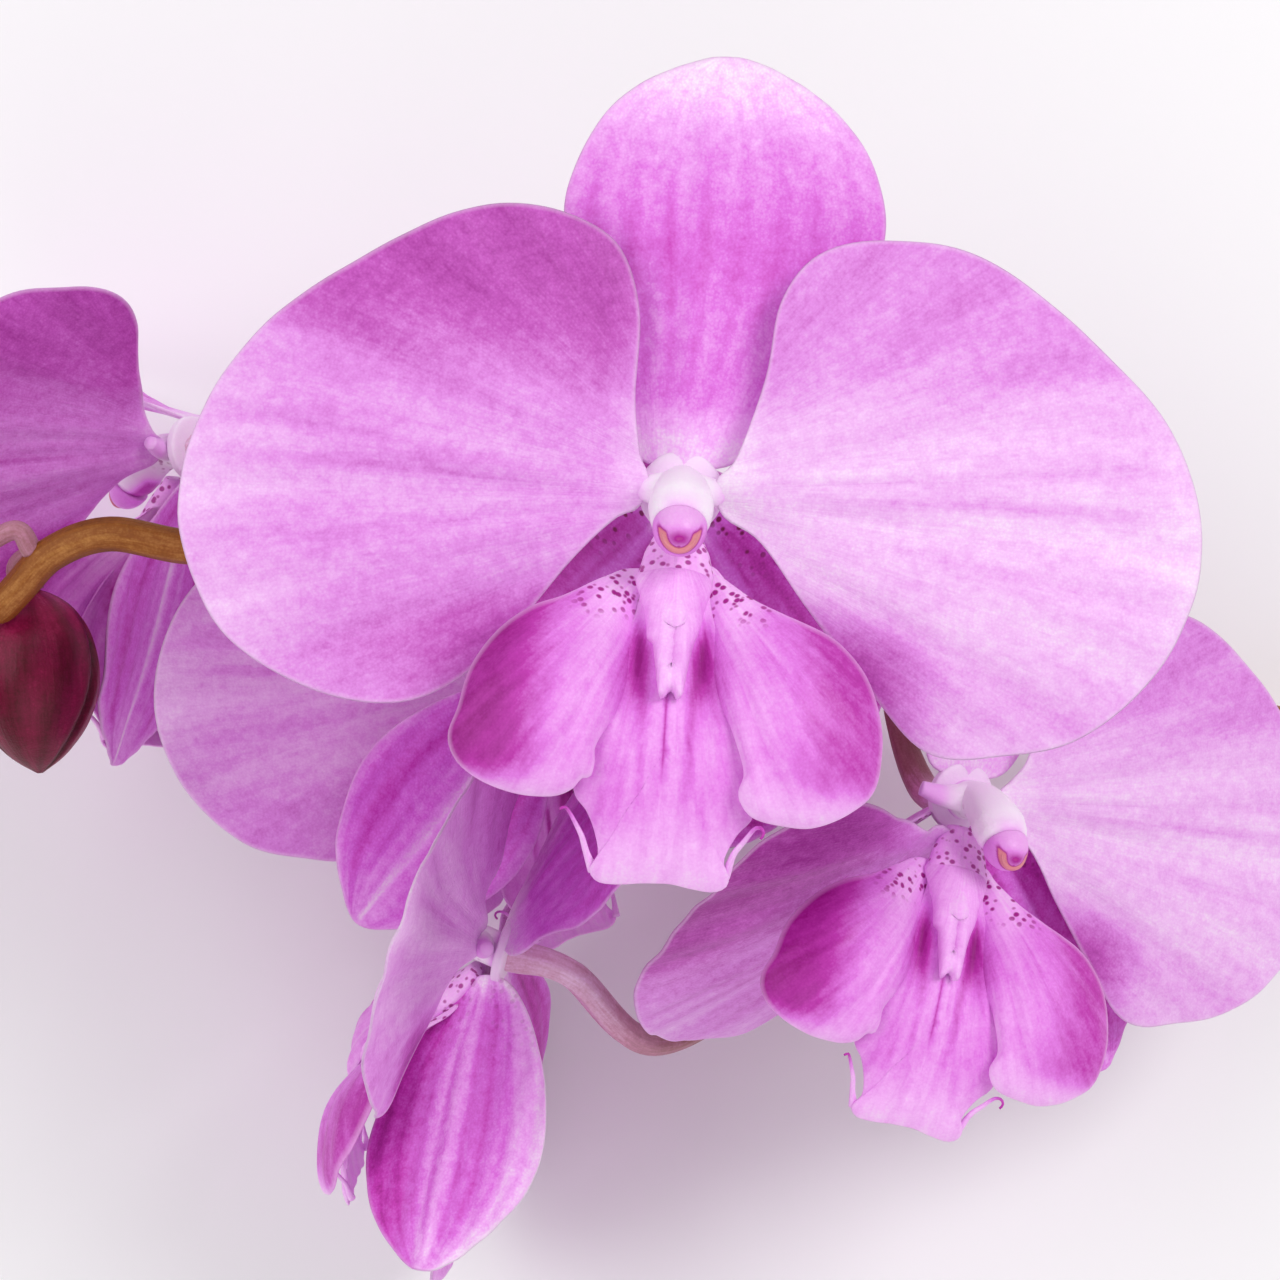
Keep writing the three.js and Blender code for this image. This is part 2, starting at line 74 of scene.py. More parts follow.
LATERAL_SEPAL = [
    [0.0, 3.3], [-3.8, 4.6], [-8.4, 10.5], [-12.6, 19.5], [-13.6, 28.0], [-10.2, 36.6],
    [-4.6, 42.0], [0.0, 44.0], [4.4, 41.6], [9.6, 36.0], [13.0, 27.5], [12.2, 19.0],
    [8.0, 10.5], [3.8, 4.6],
]
print(len(PETAL_RIGHT) + len(PETAL_LEFT) + len(DORSAL_SEPAL) + len(LATERAL_SEPAL), "points")

# %% Outlines of the lip's pieces
LOBE_LEFT = [
    [-1.6, -8.6], [-4.7, -8.0], [-7.3, -9.1], [-11.1, -11.2], [-14.4, -12.7], [-17.5, -15.3],
    [-19.9, -19.1], [-20.8, -23.2], [-21.6, -25.9], [-20.8, -28.2], [-18.5, -30.0],
    [-14.7, -31.2], [-11.1, -31.3], [-9.0, -30.5], [-8.0, -29.3], [-7.1, -29.0],
    [-6.8, -27.5], [-6.8, -25.9], [-5.3, -23.1], [-3.0, -18.6], [-1.2, -13.2],
]
LOBE_RIGHT = [
    [1.6, -8.2], [3.6, -7.2], [5.4, -8.7], [8.8, -10.8], [13.3, -12.5], [16.7, -14.2],
    [19.6, -17.3], [21.2, -21.2], [21.6, -24.9], [21.1, -28.6], [18.9, -30.9],
    [15.4, -32.6], [12.4, -32.7], [9.3, -32.1], [7.9, -30.8], [7.5, -29.5],
    [7.9, -27.8], [7.4, -25.9], [6.0, -22.6], [3.6, -18.1], [1.4, -12.9],
]
MIDDLE_LOBE = [
    [-2.6, -8.6], [-4.0, -13.0], [-6.2, -18.7], [-8.0, -23.8], [-8.8, -26.9], [-8.7, -30.7],
    [-7.3, -32.6], [-6.3, -34.8], [-5.9, -36.9], [-6.6, -38.2], [-6.4, -39.1], [-5.5, -39.7],
    [-3.8, -39.8], [-1.2, -39.5], [1.5, -39.4], [3.9, -39.8], [5.9, -39.9], [7.1, -39.3],
    [7.3, -38.2], [6.7, -37.0], [6.9, -35.8], [7.9, -33.8], [9.2, -32.1], [9.6, -28.5],
    [9.2, -24.6], [6.8, -18.4], [4.2, -12.9], [2.6, -8.6],
]
CALLUS = [
    [-3.3, -8.4], [-3.1, -11.3], [-2.7, -12.3], [-2.4, -13.9], [-2.2, -15.4], [-1.7, -15.8],
    [-1.4, -17.8], [-0.9, -20.7], [-0.4, -20.7], [0.0, -20.1], [0.4, -20.1], [0.8, -20.7],
    [1.2, -20.7], [1.6, -17.9], [1.9, -15.9], [2.4, -14.2], [2.7, -12.5], [3.0, -8.4],
]
TENDRIL_LEFT = [
    [-6.3, -38.5, 10.3], [-7.1, -36.6, 11.4], [-7.6, -35.1, 12.2], [-8.3, -33.8, 12.9],
    [-8.9, -32.8, 13.6], [-9.4, -32.2, 14.2], [-9.9, -32.4, 14.6],
]
TENDRIL_RIGHT = [
    [6.9, -38.3, 10.3], [7.6, -35.9, 11.5], [8.5, -34.5, 12.4], [9.2, -33.4, 13.1],
    [9.6, -33.0, 13.6], [10.1, -33.0, 14.1], [10.3, -33.5, 14.4], [10.0, -34.0, 14.5],
]
print(len(LOBE_LEFT) + len(LOBE_RIGHT) + len(MIDDLE_LOBE) + len(CALLUS), "points")

# %% [markdown]
# ## Where the organs stand
# The same poses as in the solid model. Each flower has a place, a yaw, a nod and a roll;
# single organs are swung about their claws. The whole spray is then rolled a few degrees
# and moved, because it rests on its cut end and on two of its flowers.

# %% Poses of the flowers
SETTLE = 8.5
SHIFT = np.array([-44.286, 32.849, 0.718])
FLOWERS = {
    "flower_a": ([0, 0, 91], 0, 0, -4, 1.0, {
        "lateral_sepal_left": dict(turn=3, pitch=-45, lift=-1.8),
        "lateral_sepal_right": dict(turn=-8, pitch=-34),
    }),
    "flower_b": ([33.8, -33.8, 54], 24, 6, -8, 0.94, {
        "petal_left": dict(turn=51.3, pitch=-31.2, twist=-41.8),
        "lateral_sepal_left": dict(turn=7.8, pitch=-28, twist=-63.8, lift=-2.5),
        "lip": dict(turn=-6, twist=18),
    }),
    "flower_c": ([-61.5, 8.5, 28], -125, 4, 0, 0.92, {
        "petal_right": dict(turn=-10, pitch=22, twist=-35),
        "petal_left": dict(turn=16, pitch=-31.5, twist=48),
        "dorsal_sepal": dict(turn=6, pitch=74),
        "lateral_sepal_right": dict(turn=-26, pitch=14, twist=-20, lift=-1.8),
        "lateral_sepal_left": dict(turn=26, pitch=20.5, twist=2),
    }),
    "flower_d": ([-15, -18, 43], -150, 6, 0, 0.88, {
        "petal_right": dict(pitch=20),
        "petal_left": dict(turn=-16, pitch=6),
        "lateral_sepal_left": dict(turn=-20, pitch=8),
        "lateral_sepal_right": dict(turn=-4, pitch=16, lift=-0.8),
        "lip": dict(turn=-15, pitch=5),
    }),
    "flower_e": ([-22, -52, 44], -98, -16, 0, 0.9, {
        "petal_left": dict(turn=57.5, pitch=-7.5, twist=-4),
        "lip": dict(turn=-18.8, pitch=1, twist=-8),
        "petal_right": dict(turn=12),
        "lateral_sepal_right": dict(turn=-10, pitch=-5.5, twist=-62.5),
        "lateral_sepal_left": dict(pitch=-6),
        "dorsal_sepal": dict(turn=-21.7, pitch=-19, twist=17),
    }),
}
HEADINGS = {  # the way each organ points from the axis, in degrees from straight up
    "dorsal_sepal": 0, "petal_left": 90, "petal_right": -90, "lip": 180, "column": 0,
    "lateral_sepal_left": 137, "lateral_sepal_right": -137, "anther_cap": 0,
}
print(len(FLOWERS), "flowers")

# %% Stem, stalks and buds
STEM_PATH = [
    [192, -34, 8.2], [150, -33, 8.6], [110, -30, 11.5], [78, -26, 15], [50, -18, 27],
    [25, -9, 40], [0, -4, 51], [-25, -2, 57], [-45, -3, 60.5], [-55, -4.4, 61.5],
    [-64.5, -2.9, 61], [-71.2, -5, 60], [-75.5, -9, 58.5], [-79, -12.5, 57],
]
STALKS = {
    "flower_b": (29, [[27, -24, 38]], [0, 1, 0.3], 1),
    "flower_e": (56, [[-2.5, -64.5, 33.5], [14, -57, 25], [36, -44, 22]], [0, 1, 0.3], 1.2),
    "flower_a": (12, [[7, -3, 63]], [0, 1, -0.3], 1),
    "flower_d": (-8, [[-9, -12, 55]], [0, 1, 0.2], 1),
    "flower_c": (-46, [[-46, 8, 46]], [0, -1, -0.3], 1),
}
BUDS = [
    ([-75.8, -19.8, 49.2], [0.05, -1, -0.12], 1.0, -68),
    ([-89, -23, 56], [-0.35, -0.93, -0.05], 0.78, -78.8),
    ([-92, -5, 59], [-0.95, 0.35, 0], 0.55, -72),
]
STEM_TIP, STEM_CUT = 1.9, 3.0
OVARY, STALK = 2.0, 1.5  # radius behind the flower, and of the rest of its stalk
BUD_HALF, BUD_RADIUS = 11, 8
print(len(STALKS), "stalks and", len(BUDS), "buds")

# %% [markdown]
# ## Curves and grids
# Two kinds of surface are enough. A blade is an outline shrunk towards its middle in
# rings and lifted by a height formula. A tube is a ring carried along a path. Both are
# closed skins: a first pole, rings of equal count, and a last pole, so one function
# makes the faces of both.

# %% Smooth curves through points
def unit(vector):
    """The vector, or each of many, divided by its length."""
    return vector / np.linalg.norm(vector, axis=-1, keepdims=True)


def run_along(line):
    """The length run from the start to each point: the sum of the steps so far."""
    return np.concatenate([[0], np.cumsum(np.linalg.norm(np.diff(line, axis=0), axis=1))])


def respaced(line, count):
    """The line cut into equal lengths: each coordinate is read off against the run."""
    run = run_along(line)
    steps = np.linspace(0, run[-1], count)
    return np.stack([np.interp(steps, run, axis) for axis in line.T], axis=1)


def spline(row, steps):
    """Through all but the two outer points of the row. The slope at each point is half
    the step between its neighbours, and between two points runs the cubic
    (2t^3 - 3t^2 + 1) start + (t^3 - 2t^2 + t) leave + (3t^2 - 2t^3) end + (t^3 - t^2) arrive."""
    slope = (row[2:] - row[:-2])[:, None] / 2
    t = np.linspace(0, 1, steps, endpoint=False)[:, None]
    curve = (2 * t**3 - 3 * t**2 + 1) * row[1:-2, None] + (t**3 - 2 * t**2 + t) * slope[:-1]
    curve = curve + (-2 * t**3 + 3 * t**2) * row[2:-1, None] + (t**3 - t**2) * slope[1:]
    return np.vstack([curve.reshape(-1, row.shape[1]), row[-2:-1]])


def closed_curve(points, count):
    """Round the points and back to the first."""
    row = np.asarray(points, float)
    return respaced(spline(np.vstack([row[-1:], row, row[:2]]), 40), count + 1)[:-1]


def open_curve(points, count):
    """Through an open row, with one point more laid out straight at each end."""
    row = np.asarray(points, float)
    row = np.vstack([2 * row[0] - row[1], row, 2 * row[-1] - row[-2]])
    return respaced(spline(row, 60), count)


print("a curve round the right petal is",
      round(float(np.abs(np.diff(closed_curve(PETAL_RIGHT, 400), axis=0)).sum())), "mm")

# %% Faces of a closed skin
def skin_faces(rings, sectors):
    """A fan from the first pole, squares from ring to ring, and a fan to the last pole."""
    j = np.arange(sectors)
    k = (j + 1) % sectors
    first = 1 + np.arange(rings)[:, None] * sectors
    squares = [first[:-1] + j, first[1:] + j, first[1:] + k, first[:-1] + k]
    squares = np.stack(squares, axis=-1).reshape(-1, 4)
    pole = 1 + rings * sectors
    start = np.stack([0 * j, 1 + j, 1 + k], axis=-1)
    end = np.stack([pole - sectors + j, 0 * j + pole, pole - sectors + k], axis=-1)
    return start.tolist() + squares.tolist() + end.tolist()


print(len(skin_faces(3, 8)), "faces in a small skin")

# %% A blade
def blade(rim, centre, height, thickness, rings, edge=0.5):
    """p = centre + share (rim - centre), z = height(x, y). Both faces stand off by half
    the thickness along the normal; the half thickness falls to its edge share at the rim
    and closes round there. Rings crowd towards the rim: share = 1 - (1 - k/n)^1.6."""
    area = np.sum(rim[:, 0] * np.roll(rim[:, 1], -1) - np.roll(rim[:, 0], -1) * rim[:, 1])
    rim = rim if area > 0 else rim[::-1]
    share = 1 - (1 - np.arange(1, rings + 1) / rings) ** 1.6
    share = np.concatenate([share, share[-2::-1]])
    side = np.concatenate([np.ones(rings), -np.ones(rings - 1)])
    side[rings - 1] = 0
    sectors = len(rim)
    reach = np.linalg.norm(rim - centre, axis=1)
    grid = np.asarray(centre) + share[:, None, None] * (rim - centre)
    flat = np.vstack([[centre], grid.reshape(-1, 2), [centre]])
    share = np.concatenate([[0], np.repeat(share, sectors), [0]])
    side = np.concatenate([[1], np.repeat(side, sectors), [-1]])
    reach = np.concatenate([[reach.max()], np.tile(reach, 2 * rings - 1), [reach.max()]])
    x, y = flat.T
    z = height(x, y, share)
    step = 0.05  # mm, for the slopes
    slope_x = (height(x + step, y, share) - z) / step
    slope_y = (height(x, y + step, share) - z) / step
    half = side * thickness / 2 * (1 - (1 - edge) * share**4)
    lean = half / np.sqrt(slope_x**2 + slope_y**2 + 1)
    points = np.stack([x - slope_x * lean, y - slope_y * lean, z + lean], axis=1)
    return Skin(points=points, faces=skin_faces(2 * rings - 1, sectors), x=x, y=y,
                share=share, side=side, gap=(1 - share) * reach)


# %% A tube
def tube(path, radius, up, sectors, section=None):
    """At each point of the path a ring: side = along x up, over = side x along, and
    p = path + r (cos a side + sin a over). section(a, share) changes r round the ring."""
    along = unit(np.gradient(path, axis=0))
    aside = unit(np.cross(along, np.asarray(up, float)))
    over = np.cross(aside, along)
    run = run_along(path)
    angle = np.arange(sectors) * 2 * np.pi / sectors
    r = np.asarray(radius, float)[:, None] * np.ones(sectors)
    if section is not None:
        r = r * section(angle[None, :], (run / run[-1])[:, None])
    ring = path[:, None] + r[..., None] * (
        np.cos(angle)[None, :, None] * aside[:, None] + np.sin(angle)[None, :, None] * over[:, None]
    )
    points = np.vstack([path[:1], ring.reshape(-1, 3), path[-1:]])
    wide = np.concatenate([[0], r.reshape(-1), [0]])
    turn = np.concatenate([[0], np.tile(angle, len(path)), [0]])
    length = np.concatenate([[0], np.repeat(run, sectors), [run[-1]]])
    return Skin(points=points, faces=skin_faces(len(path), sectors), angle=turn,
                wide=wide, run=length, share=length / run[-1])


def tapered(stations, count):
    """The radius read off between stations of (share of the length, radius)."""
    share, radius = np.asarray(stations, float).T
    return np.interp(np.linspace(0, 1, count), share, radius)


def rind_grain(shape, across, length):
    """Grain of a tube: the place across it, stretched, and the run along it, shortened."""
    edge = np.stack([np.cos(shape.angle), np.sin(shape.angle)], axis=1)
    return np.column_stack([edge * shape.wide[:, None] * across, shape.run / length])


def spun_grain(shape, turns=1, length=4):
    """Grain of a short tube: the turn round it and the run along it."""
    return np.stack([shape.angle * turns, shape.run / length, 0 * shape.run], axis=1)


def ramp(x, start, end):
    """0 before start, 1 after end, and 3t^2 - 2t^3 between."""
    t = np.clip((x - start) / (end - start), 0, 1)
    return t * t * (3 - 2 * t)


def fade(x, start, end):
    """1 before start, 0 after end."""
    return 1 - ramp(x, start, end)


def bump(x, middle, spread):
    """A bell: e to the minus ((x - middle) / spread) squared."""
    return np.exp(-(((x - middle) / spread) ** 2))


print("a bell at its middle is", bump(0.0, 0, 1))

# %% [markdown]
# ## From the flower's frame to the table
# An organ is twisted about its own length, pitched towards the front and turned about
# the flower's axis, then the flower is nodded, yawed and rolled into place, and the
# whole spray is rolled by the settling angle and moved to the part's frame.

# %% Turning and placing
def turning(axis, degrees):
    """The 3 by 3 turn about an axis."""
    return np.array(Matrix.Rotation(np.radians(degrees), 3, Vector(axis)))


def swung(points, heading, turn=0, pitch=0, twist=0, lift=0):
    """p' = turn (claw + lift + pitch twist (p - claw)), about the organ's claw."""
    outward = np.array([-np.sin(np.radians(heading)), np.cos(np.radians(heading)), 0])
    hinge = np.cross(outward, [0, 0, 1])
    claw = CLAW * outward
    bent = turning(hinge, pitch) @ turning(outward, twist)
    moved = (points - claw) @ bent.T + claw + [0, 0, lift]
    return moved @ turning([0, 0, 1], turn).T


def flower_turn(flower):
    """Roll first, then nod, then yaw."""
    yaw, nod, roll = FLOWERS[flower][1:4]
    return turning([0, 1, 0], yaw) @ turning([1, 0, 0], nod) @ turning([0, 0, 1], roll)


def in_spray(points, flower):
    """From the flower's frame to the spray's, in millimetres."""
    at, size = FLOWERS[flower][0], FLOWERS[flower][4]
    return points * size @ flower_turn(flower).T + at


def on_table(points):
    """From the spray's millimetres to the part's metres."""
    return (points @ turning([1, 0, 0], SETTLE).T + SHIFT) / 1000


print("flower A stands at", np.round(on_table(np.array([[0, 0, 91.0]])), 4)[0], "m")

# %% [markdown]
# ## Finishes
# Orchid petals are living tissue full of water: soft, slightly waxy, with fine veins
# that fan out from the claw and a crystalline grain of cells. The colour of each spot is
# a tone from pale to deep that is worked out with the shape and kept on the mesh; the
# material turns tone into colour with a ramp and adds what is too fine for the mesh:
# veins, mottling, speckles, a pale rim and the relief of the cells.

# %% Colour and node helpers
def colour(code):
    """sRGB hex to linear: c / 12.92 below 0.04045, else ((c + 0.055) / 1.055) ^ 2.4."""
    c = np.array([int(code[i : i + 2], 16) / 255 for i in (1, 3, 5)])
    linear = np.where(c <= 0.04045, c / 12.92, ((c + 0.055) / 1.055) ** 2.4)
    return (*[float(v) for v in linear], 1.0)


def add(tree, kind, links=None, **settings):
    """Adds one shader node with its settings, and links {socket: output or value}."""
    node = tree.nodes.new("ShaderNode" + kind)
    for key, value in settings.items():
        setattr(node, key, value)
    for key, source in (links or {}).items():
        if isinstance(source, bpy.types.NodeSocket):
            tree.links.new(source, node.inputs[key])
        else:
            node.inputs[key].default_value = source
    return node


def calc(tree, operation, a, b=0.0, clamp=False):
    """One sum, product or other operation of two values."""
    return add(tree, "Math", {0: a, 1: b}, operation=operation,
               use_clamp=clamp).outputs[0]


def stops(tree, factor, colours):
    """A ramp through {place: hex} stops."""
    node = add(tree, "ValToRGB", {0: factor})
    elements = node.color_ramp.elements
    while len(elements) < len(colours):
        elements.new(0.5)
    for element, (place, code) in zip(elements, colours.items()):
        element.position = place
        element.color = colour(code)
    return node.outputs[0]


def blend_colours(tree, factor, base, over):
    """Lays a hex colour over the base by the factor."""
    return add(tree, "Mix", {0: factor, 6: base, 7: colour(over)}, data_type="RGBA").outputs[2]


print("mid pink is", [round(c, 3) for c in colour("#d98ad8")])

# %% Living tissue
SKINS = {}  # one material for each slot


def tissue(name, colours, rim, spot, veins=0.12, mottle=0.08, vein_width=0.8, rough=0.5,
           sheen=0.04, relief=0.00006, under=0.08):
    """The tone on the mesh, plus veins (noise stretched along the grain) and mottling
    (noise in space), goes through the colour ramp. Then come the pale rim, speckles
    where the mesh asks for them, and the relief of cells and veins. The first word of
    the name is the slot."""
    material = bpy.data.materials.new(name)
    material.use_nodes = True
    tree = material.node_tree
    tree.nodes.clear()
    place = add(tree, "TexCoord").outputs["Object"]
    tone, speckle, gap, grain = (
        add(tree, "Attribute", attribute_name=label).outputs[socket]
        for label, socket in (("tone", "Fac"), ("speckle", "Fac"), ("gap", "Fac"),
                              ("grain", "Vector")))

    def swing(source, middle, strength):
        """How far the source is from its middle, times a strength."""
        return calc(tree, "MULTIPLY", calc(tree, "SUBTRACT", source, middle), strength)

    fine = add(tree, "TexNoise",
               {"Vector": grain, "Scale": 1 / vein_width, "Detail": 3.0, "Roughness": 0.6})
    broad = add(tree, "TexNoise",
                {"Vector": grain, "Scale": 0.28 / vein_width, "Detail": 2.0})
    # Mottling of about 1.4 mm with finer grain inside it.
    cloud = add(tree, "TexNoise",
                {"Vector": place, "Scale": 1 / 0.0014, "Detail": 4.0, "Roughness": 0.7})
    # Cells are 0.05 mm across; they are drawn at 0.3 mm so that they show.
    cells = add(tree, "TexVoronoi", {"Vector": place, "Scale": 1 / 0.0003})

    lines = swing(fine.outputs[0], 0.5, veins * 2)
    wide = swing(broad.outputs[0], 0.5, veins * 1.4)
    patches = swing(cloud.outputs[0], 0.5, mottle * 3)
    # The cells pale the colour at their middles: painted glints of the crystalline cells.
    glints = swing(cells.outputs["Distance"], 0.45, mottle * 0.9)
    total = calc(tree, "ADD", calc(tree, "ADD", tone, lines), calc(tree, "ADD", wide, patches))
    total = calc(tree, "ADD", total, glints, clamp=True)
    base = stops(tree, total, colours)

    near_rim = add(tree, "MapRange",
                   {"Value": gap, "From Min": 0.05, "From Max": 0.6, "To Min": 0.45,
                    "To Max": 0.0}).outputs[0]
    base = blend_colours(tree, near_rim, base, rim)

    # Speckles are about 0.5 mm, one to each millimetre.
    dots = add(tree, "TexVoronoi",
               {"Vector": place, "Scale": 1 / 0.001, "Randomness": 0.95})
    dots = calc(tree, "SUBTRACT", 0.40, dots.outputs["Distance"])
    dots = calc(tree, "MULTIPLY", calc(tree, "MULTIPLY", dots, 7.0, clamp=True), speckle)
    base = blend_colours(tree, dots, base, spot)

    bumps = calc(tree, "ADD", calc(tree, "MULTIPLY", cells.outputs["Distance"], 0.35),
                 calc(tree, "MULTIPLY", fine.outputs[0], 1.2))
    bumps = calc(tree, "ADD", bumps, calc(tree, "MULTIPLY", cloud.outputs[0], 0.8))
    normal = add(tree, "Bump", {"Height": bumps, "Distance": relief,
                                          "Strength": 0.9}).outputs[0]
    shader = add(tree, "BsdfPrincipled",
                 {"Base Color": base, "Roughness": rough, "IOR": 1.33, "Normal": normal,
                  "Sheen Weight": sheen, "Sheen Roughness": 0.4,
                  "Subsurface Weight": under, "Subsurface Scale": 0.0015,
                  "Subsurface Radius": (1.0, 0.45, 0.9)})
    add(tree, "OutputMaterial", {"Surface": shader.outputs[0]})
    SKINS[name.split()[0]] = material


RIND = dict(vein_width=0.5, rough=0.45, sheen=0.0)
tissue("petal tissue",
       {0: "#ffeeff", 0.25: "#f5c2f7", 0.5: "#e490e6", 0.75: "#c75ac0", 1: "#a02c94"},
       "#f6d2f6", "#8a1c6a", veins=0.09, mottle=0.13, vein_width=0.5)
tissue("sepal tissue",
       {0: "#fff0ff", 0.25: "#f6b2f8", 0.5: "#e276e2", 0.75: "#cb3fba", 1: "#9a0f80"},
       "#efbaee", "#7c1050", veins=0.11, mottle=0.14)
tissue("lip tissue",
       {0: "#ffeeff", 0.25: "#fcbafd", 0.5: "#e67fe6", 0.75: "#c139b0", 1: "#9a0f84"},
       "#f8c6f8", "#a8228c", veins=0.15, rough=0.42)
tissue("column wax", {0: "#fff6ff", 0.35: "#fddcfe", 0.7: "#f8a6fb", 1: "#c850bc"},
       "#fff0ff", "#9a2480", veins=0.03, mottle=0.04, rough=0.35, under=0.15)
tissue("anther wax",
       {0: "#fcd0fb", 0.22: "#ea92ea", 0.5: "#b01c98", 0.72: "#dc7c8e", 1: "#f2a8a8"},
       "#f6cdf2", "#9a2480", veins=0.02, mottle=0.03, rough=0.3, under=0.15)
tissue("stem rind", {0: "#eac286", 0.3: "#c98e4a", 0.6: "#95551e", 1: "#5c2606"},
       "#b98a55", "#7b3909", veins=0.2, mottle=0.12, under=0.02, **RIND)
tissue("stalk rind", {0: "#f6d0f0", 0.3: "#cf90ac", 0.6: "#a0686f", 1: "#743c34"},
       "#d29bb4", "#7b3930", veins=0.18, mottle=0.1, under=0.04, **RIND)
tissue("bud tissue", {0: "#d4608e", 0.3: "#ab2459", 0.6: "#7c0838", 1: "#46020e"},
       "#a8456c", "#5a0a1c", veins=0.16, mottle=0.14, vein_width=0.6, rough=0.4, sheen=0.0,
       under=0.03)
tissue("bract scale", {0: "#a8754a", 0.4: "#7c3424", 1: "#3c070c"},
       "#8a5a3a", "#5a010d", veins=0.3, mottle=0.15, vein_width=0.4, rough=0.65, sheen=0.0,
       under=0.0)
print(len(bpy.data.materials), "materials")

# %% A finished piece
def put_in(name, data):
    """A new object in the scene."""
    thing = bpy.data.objects.new(name, data)
    bpy.context.scene.collection.objects.link(thing)
    return thing


def piece(name, surface, points, node, slot, tone, grain, speckle=0.0, gap=9.0):
    """Puts the skin in at its place in metres, with tone, speckle and gap on each point
    and the grain, in millimetres, for the veins."""
    mesh = bpy.data.meshes.new(name)
    mesh.from_pydata(on_table(points).tolist(), [], surface.faces)
    mesh.polygons.foreach_set("use_smooth", np.ones(len(mesh.polygons), bool))
    count = len(points)
    for label, value in (("tone", tone), ("speckle", speckle), ("gap", gap)):
        layer = mesh.attributes.new(label, "FLOAT", "POINT")
        layer.data.foreach_set("value", (np.zeros(count) + value).astype(np.float32))
    layer = mesh.attributes.new("grain", "FLOAT_VECTOR", "POINT")
    layer.data.foreach_set("vector", grain.astype(np.float32).reshape(-1))
    mesh.materials.append(SKINS[slot])
    mesh.update()
    thing = put_in(name, mesh)
    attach(thing, "root")
    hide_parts(node)
    return thing


def organ_piece(flower, organ, label, shape, slot, tone, grain, **layers):
    """Swings the shape by its organ's own pose and puts it in as a piece of that organ."""
    pose = FLOWERS[flower][5].get(organ, {})
    points = in_spray(swung(shape.points, HEADINGS[organ], **pose), flower)
    node = flower + "_" + organ
    return piece(node + "_" + label, shape, points, node, slot, tone, grain, **layers)


# %% [markdown]
# ## Petals
# The two petals are the broad wings of the flower. Each stands on a narrow claw, arches
# forward over a shallow midrib and lets its margins fall back in a slow wave. A thin
# blade does this best: the large curves are in the height formula, with low folds that
# fan out from the claw, and the veins are left to the material.

# %% Petal height and tone
def from_claw(x, y):
    """Distance out from the claw, and the angle there in the fan of veins."""
    out = np.abs(x) - CLAW
    return out, np.arctan2(y, out + 8)


def petal_height(x, y, share):
    """Arch along the length, margins falling back with the square of the width, a groove
    along the midrib, folds that fan out from the claw, and a ripple at the rim."""
    out, fan = from_claw(x, y)
    across = y + 0.06 * out
    arch = 0.17 * out * (1 - out / 62)
    groove = -0.55 * bump(across, 0, 2.2) * np.clip(out / 12, 0, 1)
    wave = 0.5 * np.sin(across / 7 + out / 15) * np.clip(out / 30, 0, 1)
    ease = np.clip(out / 20, 0, 1) * (1 - 0.5 * ramp(out, 40, 52))
    folds = 0.22 * np.sin(fan * 19 + 0.6 * np.sin(out / 9)) + 0.12 * np.sin(fan * 41 + x / 11)
    creases = -0.30 * bump(fan, -0.16, 0.025) - 0.26 * bump(fan, 0.10, 0.02)
    ripple = 0.5 * share**8 * np.sin(fan * 14 + out / 6)
    height = 1.25 + arch - 0.0024 * across**2 + groove + wave
    return height + (folds + creases) * ease + ripple


def petal_tone(x, y, side):
    """Pale along the middle and outwards, deeper over the upper lobe and deepest at the inner lower
    edge, with darker lines in the midrib groove and the creases. Much of this is painted light on
    top of the petal's own colour: the pale middle is partly a painted highlight, and the deeper
    upper lobe, the inner lower edge and the lines in the groove and creases are partly painted
    shade. The left petal turns from the light and is deeper in its upper lobe, as painted shade."""
    out, fan = from_claw(x, y)
    low_inside = ramp(-y, 7, 18) * fade(out, 15, 27)
    # Partly painted shade: the upper lobe, the low inside part and the lower edge are deeper.
    right = 0.24 + 0.27 * ramp(y, 3, 21) + 0.52 * low_inside + 0.10 * ramp(-y, 8, 20)
    # The left petal is deeper throughout, partly as painted shade from the light on the right.
    left = 0.43 + 0.38 * ramp(y, 4, 22) * (1 - 0.35 * ramp(out, 30, 46)) + 0.22 * low_inside
    left = left + 0.12 * ramp(-y, 6, 15) * fade(out, 26, 38) - 0.10 * ramp(out, 32, 44)
    tone = np.where(x > 0, right, left)
    tone = tone - 0.16 * fade(out, 1, 6) + 0.10 * bump(y, 13, 6) * bump(out, 5, 4)
    # Darker lines in the midrib groove and the creases: partly painted shade.
    lines = bump(fan, 0.02, 0.018) + 0.7 * bump(fan, -0.16, 0.02) + 0.6 * bump(fan, 0.10, 0.018)
    tone = tone + 0.13 * lines * ramp(out, 6, 20) * fade(out, 40, 50)
    streaks = np.sin(fan * 23 + 1.3 * np.sin(out / 8)) + 0.7 * np.sin(fan * 57 + out / 5)
    tone = tone + 0.035 * streaks * ramp(out, 5, 16)
    return tone - 0.06 * ramp(out, 42, 50) + np.where(side < 0, 0.14, 0)


def petal_grain(x, y, side):
    """Veins fan out from a point behind the claw: (angle x 42 mm, distance / 9, side)."""
    out, fan = from_claw(x, y)
    return np.stack([fan * 42, np.hypot(out, y) / 9, side * 20 + np.sign(x) * 7], axis=1)


